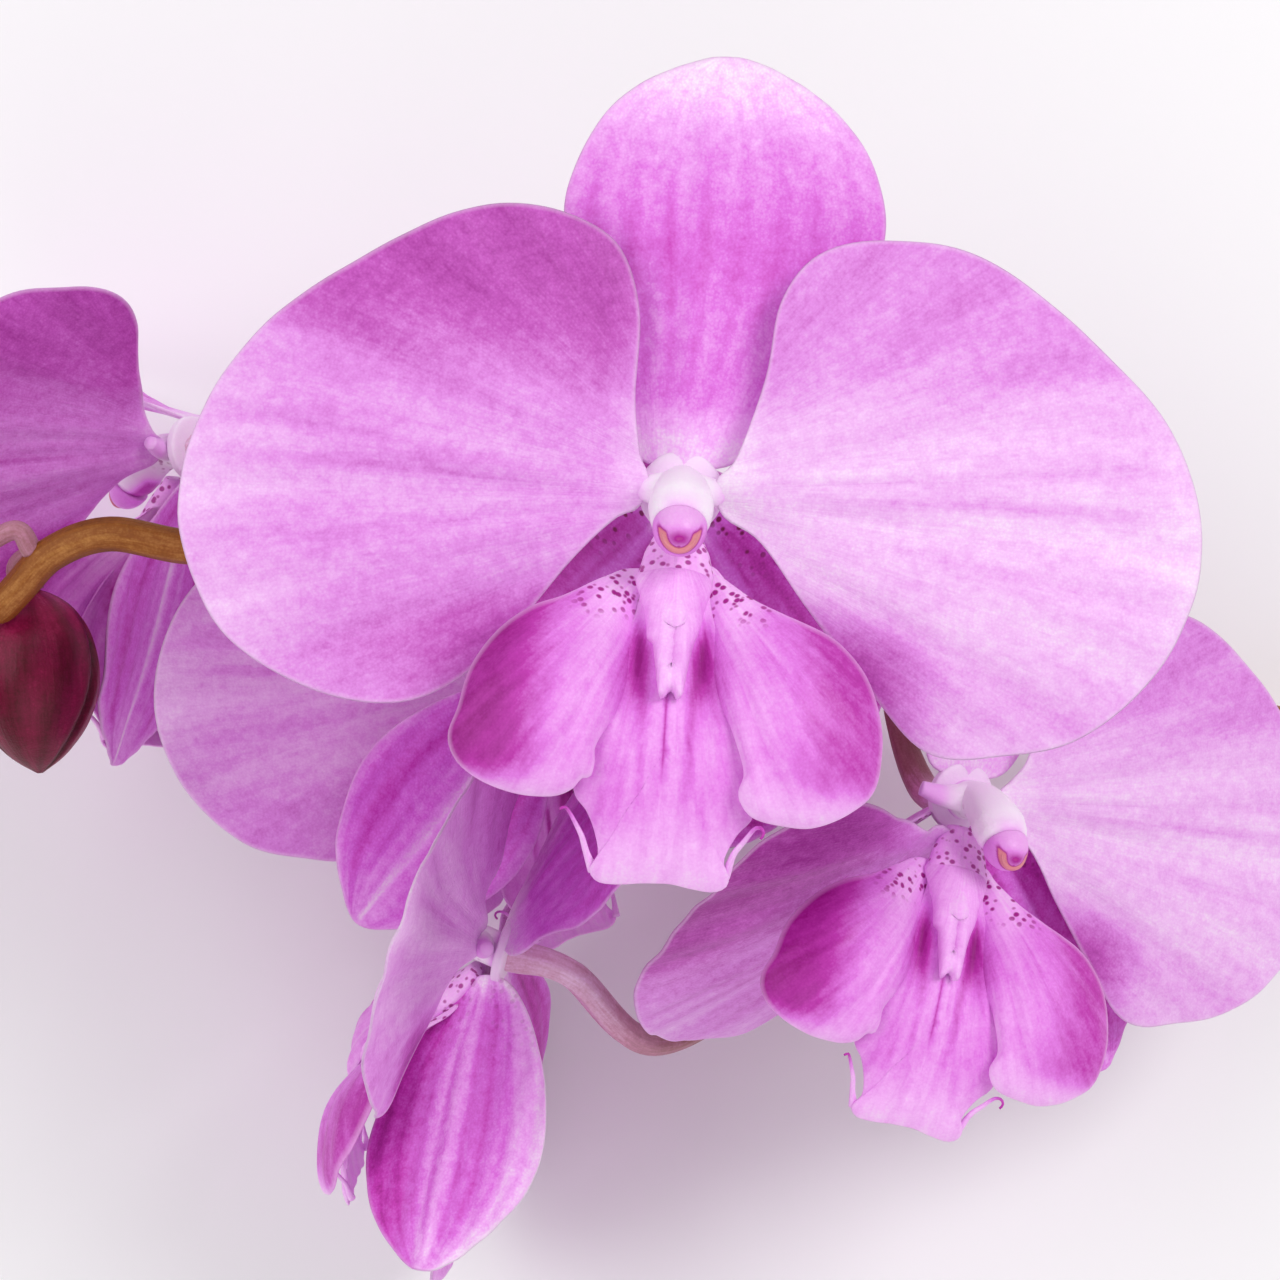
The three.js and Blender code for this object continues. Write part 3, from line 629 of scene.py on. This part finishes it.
def make_petal(flower, organ, deeper):
    """One petal; deeper is added to its whole tone."""
    outline, middle = (PETAL_LEFT, -27.0) if organ == "petal_left" else (PETAL_RIGHT, 27.0)
    shape = blade(closed_curve(outline, 168), np.array([middle, 1.0]), petal_height,
                  THICKNESS, 26, 0.35)
    x, y, side = shape.x, shape.y, shape.side
    return organ_piece(flower, organ, "blade", shape, "petal",
                       petal_tone(x, y, side) + deeper, petal_grain(x, y, side),
                       gap=shape.gap)


for flower in FLOWERS:
    # Flower B's left petal is deeper throughout by painted shade.
    make_petal(flower, "petal_left", {"flower_b": 0.12, "flower_c": 0.15}.get(flower, 0.0))
    made = make_petal(flower, "petal_right", {"flower_c": 0.15}.get(flower, 0.0))
print("a petal has", len(made.data.polygons), "faces")

# %% [markdown]
# ## Sepals
# The three sepals stand behind the petals. They are firmer and narrower, bowed back a
# little towards the tip, with a fine raised midrib and parallel veins that run from base
# to tip. The lower two are speckled near their base.

# %% Sepal height, tone and grain
def half_width(rim, y):
    """Half the blade's width at each y, read off both sides of the outline."""
    top = rim[:, 1].argmax()
    one, two = np.split(np.roll(rim, -top, 0), 2)
    one, two = one[one[:, 1].argsort()], two[two[:, 1].argsort()]
    left = np.interp(y, one[:, 1], one[:, 0])
    right = np.interp(y, two[:, 1], two[:, 0])
    return (left + right) / 2, np.abs(right - left) / 2 + 0.8


def sepal_height(x, y, share):
    """Bowed back with the square of the length and of the width, a fine midrib, low
    ridges along the veins and a ripple at the rim."""
    bow = -1.7 - 0.02 * y - 0.0009 * y**2 - 0.0035 * x**2 + 0.35 * bump(x, 0, 1.6)
    ridges = 0.10 * np.cos(x * 1.9) * ramp(y, 8, 18)
    wave = 0.35 * np.sin(y / 6 + x / 9) * ramp(y, 6, 20)
    return bow + ridges + wave + 0.35 * share**8 * np.sin(y / 3.5 + x / 3)


def make_sepal(flower, organ, deeper):
    """One sepal. v runs from -1 to 1 across it and t from 0 to 1 along it; deeper is
    added to its whole tone."""
    upper = organ == "dorsal_sepal"
    rim = closed_curve(DORSAL_SEPAL if upper else LATERAL_SEPAL, 132)
    shape = blade(rim, np.array([2.0 if upper else 0.0, 25.0]), sepal_height, THICKNESS,
                  24, 0.4)
    x, y, side = shape.x, shape.y, shape.side
    middle, half = half_width(rim, y)
    v = (x - middle) / half
    t = (y - 3.3) / 42
    veins = sum(bump(v, at, 0.045) for at in (-0.78, -0.55, -0.32, -0.12, 0.12, 0.32, 0.55, 0.78))
    if upper:
        tone = 0.52 + 0.10 * veins * ramp(t, 0.1, 0.3) * fade(t, 0.62, 0.9)
        tone = tone - 0.14 * ramp(t, 0.5, 0.75) - 0.27 * ramp(t, 0.75, 1.0)
        tone = tone - 0.36 * ramp(-t, -0.2, -0.03) - 0.10 * bump(t, 0.3, 0.16)
        speckle = 0.0
    else:
        front = 0.68 + 0.12 * veins - 0.22 * ramp(t, 0.75, 1) - 0.2 * bump(v, 0, 0.14)
        back = 0.40 + 0.10 * veins - 0.26 * bump(v, 0, 0.09) - 0.22 * ramp(t, 0.7, 1)
        back = back + 0.2 * bump(np.abs(v), 0.55, 0.2)
        tone = np.where(side > 0, front, back) - 0.3 * ramp(-t, -0.12, -0.01)
        speckle = np.where(side > 0, ramp(-t, -0.32, -0.14), 0) * ramp(np.abs(v), 0.05, 0.3)
        if flower == "flower_e":
            tone = tone - 0.40 * bump(v, -0.85, 0.35) - 0.16 * bump(v, 0.25, 0.14)
            tone = tone + 0.16 * bump(v, 0.75, 0.3)
            speckle = speckle * 0.2
    shape.points = shape.points @ turning([0, 0, 1], HEADINGS[organ]).T
    return organ_piece(flower, organ, "blade", shape, "sepal", tone + deeper,
                       np.stack([v * 11, y / 9, side * 20], axis=1), speckle=speckle,
                       gap=shape.gap)


for flower in FLOWERS:
    make_sepal(flower, "dorsal_sepal", 0.0)
    make_sepal(flower, "lateral_sepal_left", 0.12 if flower == "flower_d" else 0.0)
    made = make_sepal(flower, "lateral_sepal_right", -0.12 if flower == "flower_e" else 0.0)
print("a sepal has", len(made.data.polygons), "faces")

# %% [markdown]
# ## The lip
# The lip is the landing stage of the flower. Two side lobes stand up in front of the
# middle lobe, their lower inner edges free; beside the callus the surface sinks into
# two deep grooves. The middle lobe ends broad, with a thin curling tendril at each
# corner. Side lobes, middle lobe, callus, tendrils and the claw under the column are
# separate blades and tubes that run into each other where the real ones are grown
# together.

# %% Height of the lip
def out_and_down(x, y):
    """Distance out from the lip's middle line, and down from its upper end."""
    return np.abs(x), -(y + 8.3)


def lip_base(x, y):
    """A keel that rises forward and falls back, domes over the side lobes, and grooves
    on both sides of the callus."""
    out, down = out_and_down(x, y)
    keel = 8.2 * np.sin(np.pi * down / 42)
    lobes = 2.4 * bump(out, 12, 6.5) * bump(down, 12, 9)
    grooves = -1.3 * bump(out, 3.4, 1.5) * bump(down, 8, 7)
    edge = -0.014 * np.clip(out - 11, 0, None) ** 2
    return 5.0 + keel + lobes + grooves + edge


def side_lobe_height(x, y, share):
    """Below the middle lobe at the inner edge, 1.2 mm above it at the free edge, with
    fan folds and a rim that curls back."""
    out, down = out_and_down(x, y)
    inner = ramp(out + 0.25 * (down - 10), 2.0, 7.5)
    fan = np.arctan2(out, down + 5)
    folds = 0.14 * np.sin(fan * 26) + 0.08 * np.sin(fan * 49 + out / 3)
    lift = -0.9 + 2.1 * inner + 0.5 * ramp(down, 14, 21) * ramp(-out, -13, -7)
    return lip_base(x, y) + lift + folds * ramp(out, 4, 9) - 0.9 * share**10


def middle_lobe_height(x, y, share):
    """The keel with a fine midline furrow, streak folds, and margins turned back."""
    out, down = out_and_down(x, y)
    furrow = -0.25 * bump(x, -0.1, 0.5) * ramp(down, 11, 14) * fade(down, 22, 28)
    folds = 0.10 * np.cos(x * 2.3) * ramp(down, 8, 14)
    margins = -0.035 * np.clip(out - 3.5, 0, None) ** 2
    corners = 0.5 * bump(out, 6.6, 1.6) * bump(down, 30.5, 2.0)
    return lip_base(x, y) + furrow + folds + margins + corners - 0.4 * share**10


def callus_height(x, y, share):
    """A raised plate with a slit down its middle and two teeth that lift at its end."""
    down = out_and_down(x, y)[1]
    slit = -1.1 * bump(x, 0.1, 0.30) * ramp(down, 5.0, 6.0) * fade(down, 9.0, 10.0)
    tooth = 0.5 * bump(x, 0.1, 0.6) * bump(down, 4.6, 0.8)
    teeth = 0.9 * ramp(down, 8, 12.4)
    return lip_base(0 * x, y) + 1.3 + slit + tooth + teeth - 0.15 * x**2 - 0.8 * share**12


print("the lip's keel is", round(float(lip_base(np.array(0.0), np.array(-29.3))), 1), "mm high")

# %% Tone of the lip
def lip_grain(x, y, layer):
    """Veins fan out from under the column."""
    fan = np.arctan2(x, -(y + 4))
    return np.stack([fan * 22, np.hypot(x, y + 4) / 8, 0 * x + layer], axis=1)


def lip_tone(x, y, middle):
    """Side lobes deepen outwards and are pale at their free lower edge; the left lobe is deeper
    than the right and the upper edges near the column are darker, both painted shade. The grooves
    beside the callus and the valleys around them are dark with painted shade, and the middle lobe
    has one dark streak down it."""
    out, down = out_and_down(x, y)
    base = 0.22 + 0.16 * ramp(down, 4, 12)
    # Painted shade in the grooves beside the callus, with a wider spread of it around them.
    groove = 0.62 * bump(out, 3.1, 1.1) * bump(down, 8.5, 3.4)
    valley_shade = 0.24 * bump(out, 4.4, 2.0) * bump(down, 10, 5)
    tone = base + groove + valley_shade
    if middle:
        streak = 0.36 * bump(x, -0.1, 0.3) * ramp(down, 11.5, 13) * fade(down, 17, 23)
        sides = 0.16 * bump(out, 2.4, 0.4) * ramp(down, 10, 13) * fade(down, 18, 26)
        tip = -0.14 * ramp(down, 22, 30) + 0.10 * bump(out, 5, 2.4) * bump(down, 23, 5)
        return tone + streak + sides + tip
    lobes = 0.54 * ramp(out, 9, 18) * fade(down, 19.0, 23.5)
    # Painted shade: the right lobe, towards the light, keeps only part of the outward deepening.
    lobes = lobes * np.where(x > 0, 0.55, 1.0) - 0.12 * ramp(down, 18, 23)
    # The last term darkens the upper edges of the side lobes: painted shade.
    return tone + lobes + 0.26 * ramp(out, 6, 10) * bump(down, 4, 5)


def lip_speckle(x, y):
    """Speckles on the shoulders of the side lobes, close to the column."""
    out, down = out_and_down(x, y)
    return ramp(out, 2.0, 3.2) * fade(out, 8.5, 11.5) * fade(down, 3.6, 5.6)


def make_lip(flower):
    """Every blade and tube of one lip."""

    def put(label, shape, tone, speckle, grain, gap=9.0):
        organ_piece(flower, "lip", label, shape, "lip", tone, grain, speckle=speckle, gap=gap)

    for label, outline, centre in (("side_lobe_left", LOBE_LEFT, [-11.5, -21.5]),
                                   ("side_lobe_right", LOBE_RIGHT, [12.0, -22.0])):
        shape = blade(closed_curve(outline, 144), np.array(centre), side_lobe_height,
                      LIP_THICKNESS, 22, 0.4)
        x, y = shape.x, shape.y
        put(label, shape, lip_tone(x, y, False), lip_speckle(x, y) * (shape.side >= 0),
            lip_grain(x, y, 3), shape.gap + 8 * fade(np.abs(x), 4, 7))
    shape = blade(closed_curve(MIDDLE_LOBE, 144), np.array([0.0, -26.0]),
                  middle_lobe_height, LIP_THICKNESS, 22, 0.4)
    x, y = shape.x, shape.y
    put("middle_lobe", shape, lip_tone(x, y, True), 0.0, lip_grain(x, y, 9), shape.gap + 0.3)
    shape = blade(closed_curve(CALLUS, 96), np.array([0.0, -13.5]), callus_height, 2.2, 12, 0.6)
    x, y = shape.x, shape.y
    slit = bump(x, 0.1, 0.4) * ramp(-y, 13.4, 14.4) * fade(-y, 17.2, 18.2)
    put("callus", shape, 0.27 + 0.45 * slit + 0.08 * bump(np.abs(x), 2.2, 0.6), 0.0,
        lip_grain(x, y, 15))
    for label, points in (("tendril_left", TENDRIL_LEFT), ("tendril_right", TENDRIL_RIGHT)):
        path = open_curve(points, 26)
        shape = tube(path, tapered([[0, 0.55], [0.25, 0.34], [1, 0.14]], 26), [1, 0, 0.3], 10)
        put(label, shape, 0.25 + 0.5 * ramp(shape.share, 0.5, 1), 0.0, spun_grain(shape))
    path = open_curve([[0, -3.4, 1.4], [0, -5.7, 2.6], [0, -8.9, 4.8], [0, -11.8, 6.9]], 16)
    # Across it the claw is a flat ellipse, 0.45 as thick as it is wide.
    shape = tube(path, tapered([[0, 2.0], [0.3, 3.3], [0.6, 3.9], [1, 3.2]], 16), [1, 0, 0], 32,
                 lambda angle, along: 1 / np.hypot(np.cos(angle) / 0.45, np.sin(angle)))
    put("claw", shape, 0.24, 0.9, spun_grain(shape, 2))


for flower in FLOWERS:
    make_lip(flower)

# %% [markdown]
# ## Column and anther cap
# In the middle the column reaches forward: a stout waxy finger, white above and lilac at
# its rounded end. Its foot widens behind the claws, and two shoulders run out from it
# into the claws of the petals. The anther cap closes the end and shows a salmon crescent
# with a dark spot above it.

# %% The column
COLUMN_PATH = [[0, 0, -1.9], [0, 0.4, 3], [0, -1.0, 7], [0, -4.0, 10.6]]
CAP_RADIUS, CAP_DEPTH = 2.75, 3.4
RING_RADIUS, RING_UP = 1.75, 1.3  # the crescent is the lower half of this ring


def make_column(flower):
    """The finger, its two shoulders as one bent tube, and the flat foot behind it."""
    def put(label, shape, tone, speckle=0.0):
        return organ_piece(flower, "column", label, shape, "column", tone, shape.points,
                           speckle=speckle)

    path = open_curve(COLUMN_PATH, 40)
    share = np.linspace(0, 1, 40)
    radius = np.interp(share, [0, 0.3, 0.75, 1], [2.4, 2.4, 3.2, 2.75])
    radius = radius * np.sqrt(np.clip(1 - ((share - 0.86) / 0.16).clip(0) ** 2, 0.02, 1))

    def section(angle, along):
        """Two low wings at the sides, the ring a little narrower above and underneath, and a faint
        six-fold ripple.
        """
        wings = 0.05 * np.cos(2 * (angle - np.pi / 2)) * ramp(along, 0.3, 0.8)
        return 1 + wings + 0.012 * np.cos(6 * angle)

    shape = tube(path, radius, [1, 0, 0], 48, section)
    (x, y, z), along = shape.points.T, shape.share
    face = fade(np.abs(x), 0.8, 2.9) * ramp(along, 0.45, 0.75)
    tone = 0.04 + (0.5 * ramp(-y, -0.8, 2.0) + 0.3 * ramp(-y, 2.0, 4.0)) * face
    tone = tone + 0.25 * ramp(-y, 2.5, 5.0) + 0.6 * ramp(-z, -0.5, 1.0)
    made = put("body", shape, tone,
               0.8 * ramp(-along, -0.5, -0.3) * ramp(z, 0.5, 2.0) * ramp(-y, -0.5, 1.5))
    path = open_curve([[-6.6, 0.9, -0.4], [-3.8, 0.4, 0.5], [0, 0.6, 1.6], [3.8, 0.4, 0.5],
                       [6.6, 0.9, -0.4]], 60)
    radius = tapered([[0, 0.9], [0.26, 1.5], [0.5, 2.0], [0.74, 1.5], [1, 0.9]], 60)
    shape = tube(path, radius, [0, 0, 1], 24)
    put("shoulders", shape, 0.08 + 0.5 * ramp(np.abs(shape.points[:, 0]), 2.4, 5))
    path = np.stack([0 * share, 0 * share + 0.3, -2.7 + 1.8 * share], axis=1)
    radius = 4.4 * np.sqrt(np.clip(1 - (2 * share - 1) ** 6, 0.01, 1))
    put("foot", tube(path, radius, [1, 0, 0], 48), 0.25)
    return made


def make_anther(flower):
    """A dome beyond the column's end. The crescent and the spot are worked out on its
    face from x and from the height across it, and a thin ridge follows the crescent."""
    end = np.array(COLUMN_PATH[3], float)
    along = unit(end - np.array(COLUMN_PATH[2], float))
    over = np.cross(along, [1, 0, 0])
    over = over if over[1] > 0 else -over
    share = np.linspace(0, 1, 26)
    depth = np.sin(share * np.pi / 2) * CAP_DEPTH
    path = end - 0.5 * along + depth[:, None] * along
    radius = CAP_RADIUS * np.sqrt(np.clip(1 - (depth / (CAP_DEPTH + 0.02)) ** 2, 0, 1))
    shape = tube(path, radius, [1, 0, 0], 56)
    local = shape.points - end
    x, up = local[:, 0], local @ over
    ring = np.hypot(x, up - RING_UP)
    crescent = ramp(bump(ring, RING_RADIUS, 0.6), 0.3, 0.8) * ramp(RING_UP - up, -0.2, 0.3)
    spot = bump(x, 0, 1.2) * bump(up, 1.0, 0.7)
    tone = 0.12 + 0.62 * crescent + 0.33 * spot * (1 - crescent) + 0.1 * ramp(-up, -2.2, -0.5)
    organ_piece(flower, "anther_cap", "hood", shape, "anther", tone,
                np.stack([x, up, local @ along], axis=1))
    bend = np.linspace(-2.9, -0.24, 30)
    x, up = RING_RADIUS * np.cos(bend), RING_UP + RING_RADIUS * np.sin(bend)
    deep = CAP_DEPTH * np.sqrt(np.clip(1 - (np.hypot(x, up) / CAP_RADIUS) ** 2, 0, 1)) - 0.6
    path = end + x[:, None] * np.array([1.0, 0, 0]) + up[:, None] * over + deep[:, None] * along
    ridge = tube(path, tapered([[0, 0.12], [0.3, 0.36], [0.7, 0.36], [1, 0.12]], 30), along, 10)
    organ_piece(flower, "anther_cap", "crescent", ridge, "anther", 0.8,
                spun_grain(ridge, length=1))


for flower in FLOWERS:
    made = make_column(flower)
    make_anther(flower)
print("a column has", len(made.data.polygons), "faces")

# %% [markdown]
# ## Stem, stalks and bracts
# The stem is a round rind with fine ribs and a slight ring at each node. The short stalk
# of each flower is six-grooved just behind the flower, where it is the ovary. At the foot
# of each stalk sits a small dry scale, the bract. Tubes along the solids' own paths keep
# them where the weight is.

# %% The stem
stem_line = open_curve(STEM_PATH, 420)
stem_share = np.linspace(0, 1, 420)


def share_at(x):
    """The first share of the stem's length at which it has passed x."""
    return float(stem_share[np.argmax(stem_line[:, 0] <= x)])


nodes_on_stem = [share_at(stalk[0]) for stalk in STALKS.values()]
radius = np.interp(stem_share, [0, 1], [STEM_CUT, STEM_TIP])
for at in nodes_on_stem:
    radius = radius * (1 + 0.10 * bump(stem_share, at, 0.006))
radius[-4:] *= [0.97, 0.9, 0.75, 0.5]


def ribs(angle, along):
    """Nine low ribs and a little unevenness."""
    return 1 + 0.022 * np.cos(9 * angle + 3 * along) + 0.02 * np.sin(2 * angle + 14 * along)


shape = tube(stem_line, radius, [0, 0, 1], 40, ribs)
near_node = sum(bump(shape.share, at, 0.009) for at in nodes_on_stem)
tone = 0.34 + 0.28 * ramp(shape.share, 0.05, 0.7) + 0.25 * near_node
tone = tone - 0.3 * (shape.wide < 0.5) + 0.12 * np.sin(shape.angle * 2 + 1)
made = piece("peduncle_rind", shape, shape.points, "peduncle", "stem", tone,
             rind_grain(shape, 1.6, 7))
print("the stem has", len(made.data.polygons), "faces")

# %% The stalks and bracts
def stem_point(share):
    """The point of the stem's middle line at a share of its length."""
    return np.array([np.interp(share, stem_share, axis) for axis in stem_line.T])


def on_stem(share, direction, gap):
    """A point the gap outside the stem's skin, on the side of the direction, with the
    unit vectors away from the stem and along it."""
    at, ahead = stem_point(share), stem_point(share + 0.002)
    along = unit(ahead - at)
    away = unit(direction - np.dot(direction, along) * along)
    thick = np.interp(share, [0, 1], [STEM_CUT, STEM_TIP])
    return at + away * (thick + gap), away, along


def stalk_path(starts, x, count):
    """Through the given points and square on into the stem."""
    share = share_at(x)
    point, away = on_stem(share, np.array(starts[-1]) - stem_point(share), -0.4)[:2]
    return open_curve([*starts, point + away * 3.4, point], count)


def make_stalk(flower):
    """The stalk with its ovary, and the bract at its foot."""
    x, by, bract, thick = STALKS[flower]
    at, size = FLOWERS[flower][0], FLOWERS[flower][4]
    back = flower_turn(flower) @ np.array([0, 0, -1.0])
    starts = [at + back * 2.2 * size, at + back * 11 * size, *np.array(by, float)]
    path = stalk_path(starts, x, 120)
    ovary, thin = OVARY * size, STALK * thick
    radius = tapered([[0, ovary * 1.25], [0.06, ovary], [0.3, ovary], [0.55, thin],
                      [0.95, thin], [1, 1.2 * thin]], 120)

    def grooves(angle, along):
        """Six grooves on the ovary that twist half a turn and fade."""
        return 1 - 0.09 * fade(along, 0.25, 0.6) * (1 + np.cos(6 * angle + 9 * along)) / 2

    shape = tube(path, radius, [0.31, 0.87, 0.38], 30, grooves)
    tone = 0.14 + 0.58 * ramp(shape.share, 0.05, 0.45) + 0.1 * ramp(shape.share, 0.8, 1)
    name = flower + "_stalk"
    piece(name + "_rind", shape, shape.points, name, "stalk", tone, rind_grain(shape, 1.5, 6))
    point, away, along = on_stem(share_at(x), np.array(bract, float), 0.35)
    across = np.cross(away, along)
    rim = closed_curve([[-0.6, -2.4], [2.4, -2.6], [5.8, -1.4], [8.4, 0], [5.8, 1.4],
                        [2.4, 2.6], [-0.6, 2.4]], 72)

    def scale(x, y, share):
        """Hugs the stem across and lifts off towards its tip."""
        return -(y**2) / 4.6 + 0.035 * x**2 + 0.1 * np.cos(y * 4) * ramp(x, 0, 3)

    shape = blade(rim, np.array([3.0, 0.0]), scale, 0.5, 14, 0.3)
    points = point + shape.points @ np.stack([along, across, away])
    grain = np.stack([shape.y * 3, shape.x / 4, shape.side], axis=1)
    name = flower + "_bract"
    piece(name + "_scale", shape, points, name, "bract", 0.65 - 0.25 * ramp(shape.x, 5, 8.4),
          grain, gap=shape.gap)


for flower in FLOWERS:
    make_stalk(flower)
print("the stem is", round(float(run_along(stem_line)[-1])), "mm long")

# %% [markdown]
# ## Buds
# A bud is the closed flower: five folded sepals and petals that meet in seams. It is a
# tube along its own axis with an egg's profile, three deep seams and shallow ribs that
# fade towards the tip.

# %% The buds
def from_seam(angle, share):
    """The turn from the nearest of the three seams, which wind a little round the bud."""
    return (angle + 0.9 * share) % (2 * np.pi / 3) - np.pi / 3


def make_bud(i, at, aim, size, x):
    """The bud about its middle, and its stalk to the stem at x."""
    at, along = np.array(at, float), unit(np.array(aim, float))
    base, tip = at - along * BUD_HALF * size, at + along * BUD_HALF * size
    share = (1 - np.cos(np.linspace(0, np.pi, 70))) / 2
    path = base + share[:, None] * (tip - base)
    egg = np.interp(share, [0, 0.02, 0.1, 0.24, 0.42, 0.6, 0.78, 0.92, 1],
                    [0, 0.26, 0.62, 0.88, 1, 0.95, 0.72, 0.38, 0.04])
    egg = np.convolve(np.pad(egg, 3, mode="edge"), np.ones(7) / 7, "valid")
    egg[0], egg[-1] = 0.05, 0.05

    def seams(angle, share):
        """Three seams, each a narrow valley, and low ribs between them."""
        turn = from_seam(angle, share)
        valley = 0.10 * bump(turn, 0, 0.10) * ramp(share, 0.05, 0.3)
        return 1 - valley + 0.014 * np.cos(9 * turn) * fade(share, 0.5, 1)

    shape = tube(path, egg * BUD_RADIUS * size, [0.2, 0.1, 1], 96, seams)
    turn = from_seam(shape.angle, shape.share)
    tone = 0.62 - 0.34 * fade(shape.share, 0.05, 0.35) + 0.22 * bump(turn, 0, 0.13)
    tone = tone + 0.12 * np.sin(shape.angle + i) + 0.10 * np.cos(9 * turn)
    grain = np.stack([np.cos(shape.angle) * 9, np.sin(shape.angle) * 9,
                      shape.run / 8], axis=1)
    name = "bud_%d" % (i + 1)
    piece(name + "_skin", shape, shape.points, name, "bud", tone, grain)
    starts = [base + along * 0.3, base - along * (2 * size + 1)]
    path = stalk_path(starts, x, 60)
    radius = tapered([[0, 2.0 * size], [0.12, 1.6 * size], [1, 1.2]], 60)
    shape = tube(path, radius, [0.2, 0.1, 1], 24,
                 lambda angle, share: 1 + 0.03 * np.cos(6 * angle))
    name = name + "_stalk"
    piece(name + "_rind", shape, shape.points, name, "stalk", 0.5, rind_grain(shape, 1.5, 6))


for i, (at, aim, size, x) in enumerate(BUDS):
    make_bud(i, at, aim, size, x)
print(len(BUDS), "buds")

# %% [markdown]
# ## Table, light and camera
# The spray lies on a plain pale table under soft light from large panels: one broad
# light above on the right and weaker ones around it. The camera looks straight down on
# the face of the main flower.

# %% Table
def table_sheet():
    """A square of 3 m, half a millimetre below the spray."""
    mesh = bpy.data.meshes.new("table")
    corners = ((-1.5, -1.5), (1.5, -1.5), (1.5, 1.5), (-1.5, 1.5))
    mesh.from_pydata([(x, y, -0.0005) for x, y in corners], [], [(0, 1, 2, 3)])
    material = bpy.data.materials.new("pale table")
    material.use_nodes = True
    shader = material.node_tree.nodes["Principled BSDF"]
    shader.inputs["Base Color"].default_value = colour("#fbfafb")
    shader.inputs["Roughness"].default_value = 0.8
    mesh.materials.append(material)
    put_in("table", mesh)


table_sheet()

# %% Lights
def panel(name, place, size, power):
    """A white square panel that faces the main flower."""
    light = bpy.data.lights.new(name, "AREA")
    light.size = size
    light.energy = power
    lamp = put_in(name, light)
    lamp.location = place
    facing = Vector((-0.04, 0.02, 0.06)) - Vector(place)
    lamp.rotation_euler = facing.to_track_quat("-Z", "Y").to_euler()


panel("key", (0.55, 0.35, 0.9), 0.45, 4.9)
panel("fill", (-0.7, 0.1, 0.7), 0.8, 2.9)
panel("front", (0.0, -0.8, 0.6), 0.8, 1.6)
world = bpy.data.worlds.new("studio")
world.use_nodes = True
background = world.node_tree.nodes["Background"]
background.inputs["Color"].default_value = colour("#ffffff")
background.inputs["Strength"].default_value = 0.47
bpy.context.scene.world = world

# %% Camera
eye = np.array([[-4.25, -15.0, 391.0]])
look = eye + [[0, 0, -100.0]]
upward = eye + [[0, 100.0, 0]]
eye_m, look_m, up_m = (Vector(on_table(p)[0]) for p in (eye, look, upward))
back, up = (eye_m - look_m).normalized(), (up_m - eye_m).normalized()
right = up.cross(back)
data = bpy.data.cameras.new("camera")
data.angle = np.radians(24.9)
data.clip_start = 0.01
camera = put_in("camera", data)
turned = Matrix((right, up, back)).transposed().to_4x4()
camera.matrix_world = Matrix.Translation(eye_m) @ turned
bpy.context.scene.camera = camera
bpy.context.scene.view_settings.view_transform = "Standard"
print("camera at", [round(c, 3) for c in eye_m])
